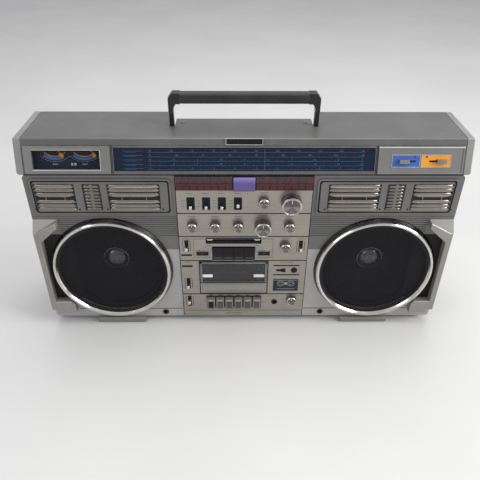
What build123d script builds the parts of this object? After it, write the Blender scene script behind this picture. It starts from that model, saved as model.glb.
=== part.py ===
from build123d import *
from math import atan2, degrees
import os

# A large portable stereo radio-cassette recorder with two tape decks.
# Row frame: X to the listener's right, Y from front to back, Z up from the floor.
# "back" is a distance behind the front face of the baffle, negative in front of it.

# ---- Overall sizes ----
overall_width = 778.0
case_depth = 150.0
foot_height = 12.0
foot_bevel = 2.5
top_block_height = 63.0
cap_thickness = 14.0
cap_overhang = 6.0
wall = 3.5
baffle_thickness = 4.0
front_shell_depth = 47.0
shell_corner = 6.0
front_foot = (97.0, 30.0)
foot_reach = 8.0
foot_shift = 4.0
rear_foot = (28.0, 12.0)

# ---- Rows of the control panel, from the bottom up ----
row_heights = {"keys": 58.5, "deck": 83.0, "player": 55.5, "volume": 50.0, "tone": 47.5, "display": 27.5}
fascia_margin = 2.0
fascia_width = 240.0
fascia_thickness = 2.0
row_gap = 0.9
fascia_lap = 3.5
window_lap = (6.0, 4.0)
strip_height_gap = 0.2
strip_thickness = 3.0
strip_windows = 8
strip_groove_width = 1.2
lens_half = 19.0
lens_reach = 6.0
lens_drop = 2.5

# ---- Top block: sloping front band, roof, rear ledge ----
band_setback = 17.0
band_overhang = 3.5
roof_rear_margin = 16.0
ledge_drop = 46.0
dial_low, dial_high = 4.8, 45.0
bezel_height = 47.0
bezel_proud = 1.2
strip_groove = (47.6, 49.6)
left_bezel_width = 146.0
right_bezel_width = 146.0
bezel_margin = 2.0
roof_bevel = 1.6
cap_neck = 1.4
cap_neck_inset = 1.6
cap_bevel = 1.8
dial_margin = 5.0
meter_window_width = 114.0
meter_window = (8.0, 40.0)
glass_thickness = 2.0
glass_recess = 0.8
dial_gap = 7.0
dial_plate_thickness = 3.0
tray_wall = 2.0
tray_rise = 5.0
roof_screw_x = 109.0
roof_screw_setback = 12.0
roof_screw_radius = 1.6
roof_screw_head = (3.4, 1.4)
housing_lip = 9.0

# ---- Loudspeakers ----
ring_margin = 11.0
speaker_shift = 5.5
ring_depth = 14.0
ring_width = 11.0
grille_set_back = 6.0
grille_thickness = 1.5
magnet_radius = 46.0
woofer_depth = 74.0
dust_cap_radius = 25.0
rib_count = 11
rib_reach = 1.2
rib_share = 0.62
horn_panel_height = 72.0
horn_panel_thickness = 2.5
horn_margin = 8.0
horn_inset = 20.0
horn_block_height = 53.0
horn_shares = {"near": (0.0, 0.417), "vent": (0.472, 0.612), "far": (0.677, 1.0)}
horn_depth = 14.0
horn_wall = 1.0
horn_magnet = (20.0, 23.0)
slat_count = 6
slat_height = 4.6
slat_depth = (-5.0, 3.0)

# ---- Guards at the lower corners ----
guard_depth = 15.0
guard_bar = 10.5
guard_bevel = 1.2
guard_low, guard_high = 28.0, 213.0
guard_arm_reach = 44.0
guard_arm_rise = 21.5
guard_arm_width = 17.0
guard_foot_height = 22.0
guard_foot_reach = 47.0
guard_foot_drop = 9.0
guard_slope = 21.0
guard_shoulder = (6.5, 1.0)
arm_taper = 4.5

# ---- Handle ----
handle_width = 261.0
handle_leg = (8.0, 9.0)
handle_rise = 70.0
grip_section = (19.0, 18.0)
grip_core = 8.0
pivot_depth = 10.5
pivot_from_rear = 80.0
pin_radius = 2.0
pin_length = 4.0

# ---- Aerials ----
mast_radius = 3.5
rod_radius = 2.3
mast_from_rear = 5.0
mast_pivot_x = 41.0
mast_root = 9.0
mast_end_gap = 44.0
rod_length = 250.0
eye_radius = 5.0
eye_thickness = 5.0
eye_pin_radius = 1.5

# ---- Decks ----
deck_x = -19.0
cassette_size = (100.4, 63.8, 12.1)
cassette_play = 3.6
slot_size = (cassette_size[0] + cassette_play, cassette_size[2] + 1.9)
slot_depth = 70.0
slot_rise = 45.5
door_size = (130.0, 79.0)
door_thickness = 6.0
door_proud = 4.0
door_window_low = 29.0
door_frame = 4.0
rail_thickness = 2.5
bay_depth = cassette_size[2] + 5.9
player_key_width = 19.6
player_key_pitch = 20.1
player_key_pivot = 24.0
deck_key_size = (15.6, 26.0)
deck_key_pitch = 18.3
deck_key_first = -64.4
deck_key_reach = 8.0

player_keys = ("player_eject_key", "player_rewind_key", "player_forward_key", "player_play_key")
deck_keys = ("record_key", "play_key", "rewind_key", "forward_key", "stop_key", "pause_key")

# ---- Knobs, levers and sockets: x, rise above the row's lower edge, radius, reach ----
knobs = {
    "tuning_knob": ("tone", 83.5, 23.0, 18.5, 19.0),
    "band_knob": ("tone", 35.0, 24.0, 10.0, 11.0),
    "bass_knob": ("volume", -94.5, 24.0, 9.8, 12.5),
    "treble_knob": ("volume", -52.5, 24.0, 9.8, 12.5),
    "balance_knob": ("volume", -10.5, 24.0, 9.8, 12.5),
    "volume_knob": ("volume", 34.5, 23.0, 15.5, 18.0),
    "microphone_knob": ("volume", 83.0, 24.0, 9.8, 12.5),
    "deck_level_knob": ("player", 78.0, 33.0, 10.3, 11.0),
    "echo_knob": ("keys", 97.0, 43.0, 10.3, 9.0),
}
levers = {
    "function_lever": ("tone", -95.0, 20.0, -4.0),
    "mode_lever": ("tone", -67.5, 20.0, -4.0),
    "loudness_lever": ("tone", -39.5, 20.0, -4.0),
    "noise_lever": ("tone", -11.0, 20.0, 0.0),
    "player_lever": ("player", -107.0, 33.5, -3.0),
    "dubbing_lever": ("player", 107.0, 32.5, -3.0),
    "tape_lever": ("deck", -107.5, 26.5, -3.0),
    "speed_lever": ("keys", -107.5, 39.5, 2.0),
}
lever_slot = (12.0, 23.0)
lever_size = (5.0, 9.0)
lever_reach = 11.0
lever_travel = 5.0
shaft_radius = 3.0
shaft_depth = 9.0
pot_radius = 8.0
pot_depth = 8.0
pot_gap = 4.5
board_thickness = 1.6
headphone_jack = ("keys", 62.8, 37.0)
remote_jack = ("deck", 98.0, 59.0)
microphone_jack = (158.0, 11.0)
main_board_depth = 38.0
main_board_half = 130.0
control_board_half = 110.0
chip_size = (18.0, 12.0)
chip_places = ((-90.0, 150.0), (-40.0, 165.0), (30.0, 150.0), (80.0, 165.0))
plug_hole_radius = 3.2
small_plug_radius = 1.8
jack_radius = 6.0
jack_depth = 18.0

# ---- Rear ----
battery_size = (312.0, 70.0, 38.0)
battery_rise = 14.0
battery_lap = 3.0
battery_door_thickness = 3.2
vent_count = 9
vent_pitch = 9.0
vent_size = (180.0, 3.0)
rear_screw_margin = (16.0, 50.0, 12.0)
rear_screw_radius = 4.0
rear_screw_sink = (12.0, 9.5)
boss_radius = 7.0
line_socket_drop = 45.0
line_socket_margin = 60.0
line_socket_pitch = 22.0
line_socket_count = 4
line_socket_radius = 6.0
inlet_margin = 70.0
inlet_size = (24.0, 16.0, 20.0)
transformer_core = (66.0, 50.0, 52.0)
transformer_margin = (30.0, 6.0)
coil_inset = (12.0, 9.0)

# ---- Clearances ----
running = 0.08
clearance = 0.5
key_gap = 0.4

# ---- Worked-out levels and planes ----
rows = {}
level = foot_height + fascia_margin
for row_name, row_height in row_heights.items():
    rows[row_name] = (level, level + row_height)
    level += row_height
body_top = level
case_top = body_top + top_block_height
ledge_top = case_top - ledge_drop
band_low = body_top + 4.5
body_half = overall_width / 2 - cap_overhang
roof_half = overall_width / 2 - cap_thickness
fascia_half = fascia_width / 2
window_half = fascia_half - fascia_lap
fascia_front = -fascia_thickness
front_reach = fascia_thickness + knobs["tuning_knob"][4]
baffle_y = front_reach - (front_reach + case_depth) / 2
pivot_back = case_depth - pivot_from_rear
pivot_z = case_top - pivot_depth
roof_rear = case_depth - roof_rear_margin
roof_screw_depth = pivot_back + roof_screw_setback
mast_back = case_depth - mast_from_rear
mast_z = ledge_top + eye_radius + 2.0
ribs_low, ribs_high = rows["volume"][0] - 2.5, rows["tone"][0] - 7.0
horn_low = rows["volume"][1] - 3.0
bay_width = body_half - guard_bar - fascia_half
ring_radius = min(bay_width / 2 - ring_margin, (horn_low - foot_height) / 2 - 8.0)
speaker_x = body_half - guard_bar - bay_width / 2 + speaker_shift
speaker_z = foot_height + ring_radius + 7.0
grille_radius = ring_radius - ring_width
battery_low = foot_height + battery_rise


def back(distance):
    """Y of a point that lies this far behind the baffle's front face."""
    return baffle_y + distance


def block(x, depth, z):
    """A box between pairs of x, of distances behind the baffle, and of z."""
    y = (back(depth[0]), back(depth[1]))
    middle = [(low + high) / 2 for low, high in (x, y, z)]
    size = [high - low for low, high in (x, y, z)]
    return Pos(*middle) * Box(*size)


def barrel(x, z, depth, radius):
    """A round bar that points along Y."""
    length = depth[1] - depth[0]
    return Pos(x, back((depth[0] + depth[1]) / 2), z) * Rot(90, 0, 0) * Cylinder(radius, length)


def axle(x, depth, z, radius):
    """A round bar that points along X."""
    return Pos((x[0] + x[1]) / 2, back(depth), z) * Rot(0, 90, 0) * Cylinder(radius, x[1] - x[0])


def side_prism(points, x):
    """A solid with this outline of (depth, z) points, between two values of x."""
    outline = Polyline(*[(x[0], back(depth), z) for depth, z in points], close=True)
    return extrude(make_face(outline), amount=x[1] - x[0], dir=(1, 0, 0))


def front_prism(points, depth):
    """A solid with this outline of (x, z) points, between two depths."""
    outline = Polyline(*[(x, back(depth[0]), z) for x, z in points], close=True)
    return extrude(make_face(outline), amount=depth[1] - depth[0], dir=(0, 1, 0))


def turned(points, x, z):
    """A round solid about an axis along Y, from an outline of (radius, depth) points."""
    outline = Polyline(*[(radius, depth, 0) for radius, depth in points], close=True)
    solid = revolve(make_face(outline), axis=Axis.Y)
    return Pos(x, baffle_y, z) * solid


def both_sides(shape):
    """The shape and its mirror image across the middle of the radio."""
    return shape + mirror(shape, about=Plane.YZ)


def rounded_block(x, depth, z, radius):
    """A box whose four edges along Y are rounded."""
    width, height = x[1] - x[0], z[1] - z[0]
    sketch = RectangleRounded(width, height, min(radius, width / 2.2, height / 2.2))
    solid = extrude(sketch, amount=depth[1] - depth[0])
    middle = Pos((x[0] + x[1]) / 2, back(depth[1]), (z[0] + z[1]) / 2)
    return middle * Rot(90, 0, 0) * solid


# ---- The sloping band: u along X, v up the slope, w out of it ----
band_height = case_top - band_low
band_angle = degrees(atan2(band_setback, band_height))


def on_band(u, v, w):
    """A box laid on the sloping band."""
    middle = [(low + high) / 2 for low, high in (u, v, w)]
    size = [high - low for low, high in (u, v, w)]
    turn = Pos(0, back(-band_overhang), band_low) * Rot(90 - band_angle, 0, 0)
    return turn * Pos(*middle) * Box(*size)


def band_pin(u, v, w, radius):
    """A round bar that stands out of the band."""
    turn = Pos(0, back(-band_overhang), band_low) * Rot(90 - band_angle, 0, 0)
    return turn * Pos(u, v, (w[0] + w[1]) / 2) * Cylinder(radius, w[1] - w[0])


left_bezel = (-roof_half + bezel_margin, -roof_half + bezel_margin + left_bezel_width)
right_bezel = (roof_half - bezel_margin - right_bezel_width, roof_half - bezel_margin)
dial_span = (left_bezel[1] + dial_margin, right_bezel[0] - dial_margin)
meter_span = (left_bezel[0] + 14.0, left_bezel[0] + 14.0 + meter_window_width)
switch_v = 22.5
switch_slots = {"input_switch": right_bezel[0] + 43.5, "output_switch": right_bezel[0] + 107.5}
switch_size = (17.0, 7.0)
switch_travel = 12.0
switch_reach = 6.0
meter_centres = {"left": meter_span[0] + 38.5, "right": meter_span[0] + 94.0}
needle_pivot_v = 44.0
needle_length = 22.0
needle_rest_angle = 34.0
pointer_u = 35.0
pointer_width = 1.4


# ---- Casing ----
def top_profile():
    """Side outline of the top block, with a small bevel between the band and the roof."""
    slope = band_setback / band_height
    return [
        (-band_overhang, band_low),
        (-band_overhang + band_setback - slope * roof_bevel, case_top - roof_bevel),
        (-band_overhang + band_setback + roof_bevel, case_top),
        (roof_rear, case_top),
        (roof_rear, body_top),
        (2.0, body_top),
    ]


def leg_channels(x_margin, front_margin, floor_margin, top):
    """The space that the handle's legs swing through, grown by the margins."""
    half = handle_width / 2
    x = (half - handle_leg[0] - 1.0 - x_margin, half + 1.0 + x_margin)
    depth = (pivot_back - 6.0 - front_margin, roof_rear)
    z = (pivot_z - 6.0 - floor_margin, top)
    return both_sides(block(x, depth, z))


def handle_recess(margin, top):
    """The space behind the roof's middle part where the grip lies when it is folded."""
    half = handle_width / 2 + 1.0 + margin
    front = pivot_back + handle_rise - grip_section[0] - 21.0 - margin
    return block((-half, half), (front, roof_rear + 1.0 - margin), (ledge_top - margin, top))


def aerial_ears(x):
    """Two rounded ears on the ledge that hold the aerial's pivot pin."""
    half = eye_thickness / 2 + 0.3
    ears = None
    for depth in ((mast_back - half - 1.6, mast_back - half), (mast_back + half, case_depth)):
        ear = barrel(x, mast_z, depth, eye_radius + 0.5)
        ear += block((x - eye_radius - 0.5, x + eye_radius + 0.5), depth, (ledge_top, mast_z))
        ears = ear if ears is None else ears + ear
    return ears - barrel(x, mast_z, (mast_back - 6, case_depth + 1), eye_pin_radius + running)


def top_housing():
    """Roof and sloping front band, hollow below."""
    x = (-roof_half, roof_half)
    profile = top_profile()
    solid = side_prism(profile, x)
    outline = Polyline(*[(x[0] + wall, back(depth), z) for depth, z in profile], close=True)
    inner = offset(make_face(outline), amount=-wall, kind=Kind.INTERSECTION)
    hollow = extrude(inner, amount=x[1] - x[0] - 2 * wall, dir=(1, 0, 0))
    inside_x = (-roof_half + wall, roof_half - wall)
    hollow += block(inside_x, (housing_lip, roof_rear - wall), (body_top - 1, body_top + wall + 2))
    shell = solid - hollow
    shell += handle_recess(wall, case_top) & solid
    shell += leg_channels(pin_length + wall, wall, wall, case_top) & solid
    shell -= handle_recess(0.0, case_top + 1)
    shell -= leg_channels(0.0, 0.0, 0.0, case_top + 1)
    half = handle_width / 2
    pin_end = half + pin_length + 1.0
    shell -= both_sides(axle((half, pin_end), pivot_back, pivot_z, pin_radius + running))
    for bezel in (left_bezel, right_bezel):
        shell += on_band(bezel, (0.5, bezel_height), (-1.0, bezel_proud))
    shell -= on_band(meter_span, meter_window, (-wall - 1, bezel_proud + 1))
    shell -= on_band(dial_span, (dial_low, dial_high), (-wall - 1, 1))
    shell -= on_band((-roof_half - 1, roof_half + 1), strip_groove, (-1.0, 1))
    for u in switch_slots.values():
        slot_u = (u - switch_travel - 4.0, u + switch_travel + 4.0)
        shell -= on_band(slot_u, (switch_v - 2.2, switch_v + 2.2), (-wall - 1, bezel_proud + 1))
    for sign in (-1, 1):
        hole = Cylinder(roof_screw_radius, 2 * wall)
        shell -= Pos(sign * roof_screw_x, back(roof_screw_depth), case_top) * hole
    return shell


def end_caps():
    """A bevelled cap on each end of the top block, set off from it by a narrow neck."""
    x = (roof_half, roof_half + cap_neck, roof_half + cap_thickness)
    profile = top_profile()
    cap = side_prism(profile, x[1:])
    cap = chamfer(cap.faces().sort_by(Axis.X)[-1].edges(), cap_bevel)
    outline = Polyline(*[(x[0], back(depth), z) for depth, z in profile], close=True)
    inset = offset(make_face(outline), amount=-cap_neck_inset, kind=Kind.INTERSECTION)
    neck = extrude(inset, amount=cap_neck, dir=(1, 0, 0))
    return both_sides(cap + neck)


def front_baffle():
    """Front shell: a tray with the loudspeaker board as its face."""
    z = (foot_height, body_top)
    shell = rounded_block((-body_half, body_half), (0, front_shell_depth), z, shell_corner)
    inner_z = (z[0] + wall, z[1] - wall)
    inner_x = (-body_half + wall, body_half - wall)
    shell -= block(inner_x, (baffle_thickness, front_shell_depth + 1), inner_z)
    window_z = (rows["keys"][0] + window_lap[0], rows["display"][0] - window_lap[1])
    shell -= block((-window_half, window_half), (-1, baffle_thickness + 1), window_z)
    shell += rib_pads()
    shell -= both_sides(barrel(speaker_x, speaker_z, (-2, baffle_thickness + 1), grille_radius - 0.5))
    for low, high in horn_openings():
        hole = block((low, high), (-1, baffle_thickness + 1), horn_z())
        shell -= both_sides(hole)
    x, rise = microphone_jack
    shell -= both_sides(barrel(x, foot_height + rise, (-1, baffle_thickness + 1), jack_radius - 1 + running))
    return shell


def rib_pads():
    """Fine raised ribs above each loudspeaker, clear of its ring and of the guard."""
    pitch = (ribs_high - ribs_low) / rib_count
    x = (fascia_half + 2.0, body_half - 2.0)
    ribs = None
    for i in range(rib_count):
        low = ribs_low + i * pitch
        rib = block(x, (-rib_reach, 0.0), (low, low + pitch * rib_share))
        ribs = rib if ribs is None else ribs + rib
    ribs -= barrel(speaker_x, speaker_z, (-3, 1), ring_radius + 1.5)
    corner = (body_half - guard_arm_reach - 3.0, body_half + 1)
    ribs -= block(corner, (-3, 1), (ribs_low - 1, guard_high + guard_arm_rise + 14.0))
    return both_sides(ribs)


def horn_spans():
    """The louvre blocks in the right panel: near horn, vent, far horn."""
    low, high = fascia_half + horn_margin + horn_inset, body_half - 2 * horn_margin
    width = high - low
    return {name: (low + start * width, low + end * width) for name, (start, end) in horn_shares.items()}


def horn_z():
    """Bottom and top of the louvre blocks."""
    low = horn_low + (horn_panel_height - horn_block_height) / 2
    return (low, low + horn_block_height)


def horn_openings():
    """Holes in the baffle behind the louvre blocks."""
    return [(low - horn_wall, high + horn_wall) for low, high in horn_spans().values()]


def horn_panels():
    """A panel above each loudspeaker with two louvred horns and a ribbed vent."""
    x = (fascia_half + horn_margin, body_half - horn_margin - 1.0)
    z = (horn_low, horn_low + horn_panel_height)
    panel = rounded_block(x, (-horn_panel_thickness, 0), z, 8.0)
    low_z, high_z = horn_z()
    for low, high in horn_spans().values():
        panel -= block((low, high), (-horn_panel_thickness - 1, 1), (low_z, high_z))
        frame = block((low - horn_wall, high + horn_wall), (0, horn_depth), (low_z, high_z))
        frame -= block((low + horn_wall, high - horn_wall), (-1, horn_depth + 1),
                       (low_z + 2 * horn_wall, high_z - 2 * horn_wall))
        panel += frame
        pitch = (high_z - low_z - slat_height) / (slat_count - 1)
        for i in range(slat_count):
            z_slat = low_z + i * pitch
            panel += block((low, high), slat_depth, (z_slat, z_slat + slat_height))
    return both_sides(panel)


def speaker_guards():
    """A C-shaped guard at each outer side, with a bevelled corner block on its upper arm."""
    outer = -body_half
    inner = outer + guard_bar
    low, high = guard_low + foot_height, guard_high + foot_height
    arm_end = outer + guard_arm_reach
    arm_top = high + guard_arm_rise
    foot_top = low + guard_foot_height
    c_shape = [
        (outer, low),
        (outer, high),
        (outer + guard_shoulder[0], high + guard_shoulder[1]),
        (arm_end, arm_top),
        (arm_end, arm_top - guard_arm_width + arm_taper),
        (inner, high - guard_slope),
        (inner, foot_top),
        (outer + guard_foot_reach, foot_top),
        (outer + guard_foot_reach, low - guard_foot_drop),
        (inner, low - guard_foot_drop),
        (inner, low),
    ]
    guard = front_prism(c_shape, (-guard_depth, 0))
    guard = chamfer(guard.faces().sort_by(Axis.Y)[0].edges(), guard_bevel)
    wedge = side_prism([(-guard_depth, high - 1), (0, arm_top), (0, high - 1)], (outer, arm_end))
    corner = [(outer, high - 1), (arm_end, arm_top - 3), (arm_end, arm_top), (outer, arm_top)]
    wedge &= front_prism(corner, (-guard_depth, 0))
    guard = guard + wedge - barrel(-speaker_x, speaker_z, (-guard_depth - 1, 1), ring_radius + 0.6)
    return both_sides(guard)


def feet():
    """Two wide front feet and two rear feet."""
    width, length = front_foot
    middle = speaker_x - foot_shift
    x = (middle - width / 2, middle + width / 2)
    front = block(x, (-foot_reach, length - foot_reach), (0, foot_height))
    front = chamfer(front.faces().sort_by(Axis.Y)[0].edges(), foot_bevel)
    length, margin = rear_foot
    rear = block(x, (case_depth - margin - length, case_depth - margin), (0, foot_height))
    return both_sides(front) + both_sides(rear)


def rear_cabinet():
    """Rear shell with the battery compartment, vent slots, socket panel, ledge and aerial brackets."""
    depth = (front_shell_depth, case_depth)
    z = (foot_height, body_top)
    shell = rounded_block((-body_half, body_half), depth, z, shell_corner)
    inner_x = (-body_half + wall, body_half - wall)
    inner_z = (z[0] + wall, z[1] - wall)
    shell -= block(inner_x, (depth[0] - 1, depth[1] - wall), inner_z)
    width, height, reach = battery_size
    half = width / 2
    tray = block((-half - wall, half + wall), (case_depth - reach - wall, case_depth - 1),
                 (battery_low - wall, battery_low + height + wall))
    shell += tray
    shell -= block((-half, half), (case_depth - reach, case_depth + 1), (battery_low, battery_low + height))
    lap_x = half + battery_lap
    lap_z = (battery_low - battery_lap, battery_low + height + battery_lap)
    shell -= block((-lap_x, lap_x), (case_depth - battery_door_thickness, case_depth + 1), lap_z)
    vent_half = vent_size[0] / 2
    for i in range(vent_count):
        z_slot = rows["volume"][0] + 4.0 + i * vent_pitch
        slot_z = (z_slot, z_slot + vent_size[1])
        shell -= block((-vent_half, vent_half), (case_depth - wall - 1, case_depth + 1), slot_z)
    shell -= rear_jacks(cut=True)
    for x, z_screw in rear_screw_places():
        shell += barrel(x, z_screw, (case_depth - 2.5 * rear_screw_sink[0], case_depth - 1), boss_radius)
        hole = (case_depth - rear_screw_sink[0], case_depth + 1)
        shell -= barrel(x, z_screw, hole, rear_screw_radius + clearance)
    brackets = both_sides(aerial_ears(mast_pivot_x)).solids()
    return Compound(children=[rear_ledge(shell), *brackets])


def rear_ledge(shell):
    """The rear shell with a hollow ledge on top, behind the roof, where the aerials lie."""
    ledge_z = (body_top - wall, ledge_top)
    shell += block((-roof_half, roof_half), (roof_rear, case_depth), ledge_z)
    inside_x = (-roof_half + wall, roof_half - wall)
    inside_z = (ledge_z[0] - 1, ledge_z[1] - wall)
    return shell - block(inside_x, (roof_rear + wall, case_depth - wall), inside_z)


def rear_screw_places():
    """Where the rear shell is screwed on."""
    far = body_half - rear_screw_margin[0]
    near = fascia_half + rear_screw_margin[1]
    levels = (foot_height + rear_screw_margin[2], body_top - rear_screw_margin[2])
    return [(sign * x, z) for x in (near, far) for z in levels for sign in (-1, 1)]


def screws():
    """Screws of the roof and of the rear shell."""
    group = None
    seat, top = (case_depth - sink for sink in rear_screw_sink)
    cross = 0.75 * rear_screw_radius
    for x, z in rear_screw_places():
        screw = barrel(x, z, (seat, top), rear_screw_radius)
        screw -= block((x - cross, x + cross), (top - 0.8, top + 0.5), (z - 0.5, z + 0.5))
        screw -= block((x - 0.5, x + 0.5), (top - 0.8, top + 0.5), (z - cross, z + cross))
        group = screw if group is None else group + screw
    radius, height = roof_screw_head
    for sign in (-1, 1):
        place = Pos(sign * roof_screw_x, back(roof_screw_depth), case_top)
        head = place * Pos(0, 0, height / 2) * Cylinder(radius, height)
        head -= place * Pos(0, 0, height - 0.2) * Box(1.5 * radius, 1.0, 0.6)
        head -= place * Pos(0, 0, height - 0.2) * Box(1.0, 1.5 * radius, 0.6)
        head += place * Pos(0, 0, -wall / 2) * Cylinder(roof_screw_radius, wall)
        group += head
    return group


# ---- Loudspeakers ----
def speaker_rings():
    """Chrome ring round each loudspeaker."""
    inner, outer = grille_radius, ring_radius
    profile = [
        (inner, 0), (outer, 0), (outer, -2.5), (outer - 2.0, -6.0), (outer - 3.5, -ring_depth + 2.0),
        (outer - 5.0, -ring_depth + 0.4), (outer - 7.0, -ring_depth), (outer - 8.8, -ring_depth + 1.2),
        (inner, -ring_depth + 4.5),
    ]
    return both_sides(turned(profile, speaker_x, speaker_z))


def speaker_grilles():
    """Perforated disc inside each ring."""
    depth = (-grille_set_back - grille_thickness, -grille_set_back)
    return both_sides(barrel(speaker_x, speaker_z, depth, grille_radius))


def speaker_drivers():
    """Two woofers and four horn drivers behind the front."""
    flange = grille_radius + 4.0
    start = baffle_thickness
    profile = [
        (0, start + 26.0), (dust_cap_radius * 0.6, start + 28.0), (dust_cap_radius, start + 34.0),
        (grille_radius - 12.0, start + 6.0), (grille_radius - 8.0, start + 3.0),
        (grille_radius - 5.0, start + 3.0), (grille_radius - 5.0, start),
        (flange, start), (flange, start + 4.0), (grille_radius - 6.0, start + 10.0),
        (magnet_radius - 4.0, woofer_depth - 20.0), (magnet_radius, woofer_depth - 20.0),
        (magnet_radius, woofer_depth), (0, woofer_depth),
    ]
    group = both_sides(turned(profile, speaker_x, speaker_z))
    low_z, high_z = horn_z()
    middle = (low_z + high_z) / 2
    radius, length = horn_magnet
    spans = horn_spans()
    for low, high in (spans["near"], spans["far"]):
        plate = horn_depth + 3.0
        horn = block((low - horn_wall, high + horn_wall), (horn_depth, plate), (low_z, high_z))
        horn += barrel((low + high) / 2, middle, (plate, plate + length), radius)
        group += both_sides(horn)
    return group


# ---- Control panel ----
def row_z(name):
    """Bottom and top of a row's plate."""
    low, high = rows[name]
    return (low, high - row_gap)


def control_spot(name):
    """x and z of a knob or a lever slot."""
    row, x, rise = (knobs.get(name) or levers.get(name))[:3]
    return x, rows[row][0] + rise


def door_box():
    """Edges of the cassette door: x pair, z pair."""
    middle = (rows["deck"][0] + rows["deck"][1] - row_gap) / 2
    return ((deck_x - door_size[0] / 2, deck_x + door_size[0] / 2),
            (middle - door_size[1] / 2, middle + door_size[1] / 2))


def slot_box():
    """Edges of the slot-in player's slot: x pair, z pair."""
    z = rows["player"][0] + slot_rise
    return ((deck_x - slot_size[0] / 2, deck_x + slot_size[0] / 2),
            (z - slot_size[1] / 2, z + slot_size[1] / 2))


def player_key_x(i):
    """Left edge of a key of the slot-in player."""
    return deck_x - 2 * player_key_pitch + i * player_key_pitch + 0.2


def deck_key_x(i):
    """Middle of a key of the recording deck."""
    return deck_key_first + i * deck_key_pitch


def player_key_z():
    """Bottom and top of the opening for the player's keys."""
    low = rows["player"][0] + 4.0
    return (low, low + 28.5)


def deck_key_z():
    """Bottom and top of the recording deck's keys."""
    low = rows["keys"][0] + 24.5
    return (low, low + deck_key_size[1])


def control_fascia():
    """Five metal plates, one above another, with the openings for the controls."""
    plates = {}
    for row in ("keys", "deck", "player", "volume", "tone"):
        plates[row] = block((-fascia_half, fascia_half), (fascia_front, 0), row_z(row))
    through = (fascia_front - 1, 1)
    for row, x, rise, _, _ in knobs.values():
        plates[row] -= barrel(x, rows[row][0] + rise, through, shaft_radius + clearance)
    for row, x, rise, _ in levers.values():
        z = rows[row][0] + rise
        slot = block((x - lever_slot[0] / 2, x + lever_slot[0] / 2), through,
                     (z - lever_slot[1] / 2, z + lever_slot[1] / 2))
        plates[row] -= slot
    x, z = door_box()
    plates["deck"] -= block((x[0] - 0.7, x[1] + 0.7), through, (z[0] - 0.7, z[1] + 0.7))
    x, z = slot_box()
    plates["player"] -= block(x, through, z)
    keys_x = (player_key_x(0) - clearance, player_key_x(4) - 0.4 + clearance)
    plates["player"] -= block(keys_x, through, player_key_z())
    z = deck_key_z()
    for i in range(len(deck_keys)):
        x = deck_key_x(i)
        half = deck_key_size[0] / 2 + key_gap
        plates["keys"] -= block((x - half, x + half), through, (z[0] - key_gap, z[1] + key_gap))
    for row, x, rise in (headphone_jack, remote_jack):
        plates[row] -= barrel(x, rows[row][0] + rise, through, jack_radius - 1 + running)
    group = None
    for plate in plates.values():
        group = plate if group is None else group + plate
    return group


def display_strip():
    """Strip of station windows under the band, with a raised lens in the middle."""
    low, high = rows["display"]
    half = fascia_half - clearance
    start = low + strip_height_gap
    strip = block((-half, half), (-strip_thickness, 0), (start, high))
    pitch = (half - lens_half - 1.0) / strip_windows
    for i in range(1, strip_windows):
        for sign in (-1, 1):
            x = sign * (half - i * pitch)
            groove_x = (x - strip_groove_width / 2, x + strip_groove_width / 2)
            strip -= block(groove_x, (-strip_thickness - 0.5, 1.0 - strip_thickness), (low - 1, high + 1))
    lens_x, lens_top = (-lens_half, lens_half), high - lens_drop
    strip -= block(lens_x, (-strip_thickness - 1, -1.0), (low - 1.0, lens_top))
    lens = block(lens_x, (-lens_reach, fascia_front), (low - 1.0, lens_top))
    lens += block(lens_x, (fascia_front, -1.0), (start, lens_top))
    return strip + lens


def circuit_board():
    """Two boards with the control potentiometers, and the main board behind them."""
    front = pot_gap + pot_depth
    upper_z = (rows["volume"][0] + 7.0, rows["tone"][1] - 4.0)
    board_x = (-control_board_half, control_board_half)
    board = block(board_x, (front, front + board_thickness), upper_z)
    side_z = (rows["keys"][0] + 30.0, rows["player"][0] + 45.0)
    side_x = (headphone_jack[1] + jack_radius + 1.0, control_board_half)
    side = block(side_x, (front, front + board_thickness), side_z)
    jack_x, jack_rise = remote_jack[1:]
    side -= barrel(jack_x, rows["deck"][0] + jack_rise, (front - 1, front + 5), jack_radius + 1)
    pots = {"upper": board, "side": side}
    for row, x, rise, _, _ in knobs.values():
        z = rows[row][0] + rise
        pot = barrel(x, z, (pot_gap, front), pot_radius)
        pot -= barrel(x, z, (pot_gap - 1, shaft_depth + 0.8), shaft_radius + running)
        key = "upper" if row in ("tone", "volume") else "side"
        pots[key] += pot
    main_back = front_shell_depth + main_board_depth
    main_z = (battery_low + battery_size[1] + 20.0, rows["player"][0] + 25.0)
    main = block((-main_board_half, main_board_half), (main_back, main_back + board_thickness), main_z)
    half, height = chip_size[0] / 2, chip_size[1]
    for x, z in chip_places:
        main += block((x - half, x + half), (main_back - height, main_back), (z - half, z + half))
    return pots["upper"] + pots["side"] + main


def power_transformer():
    """Mains transformer on the floor of the rear shell."""
    width, length, height = transformer_core
    start = -body_half + wall + transformer_margin[0]
    x = (start, start + width)
    floor = foot_height + wall
    rear = case_depth - wall - transformer_margin[1]
    depth = (rear - length, rear)
    core = block(x, depth, (floor, floor + height))
    side, end = coil_inset
    coil_z = (floor + end, floor + height - end)
    return core + block((x[0] + side, x[1] - side), (depth[0] - 10.0, depth[1] + 4.0), coil_z)


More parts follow.
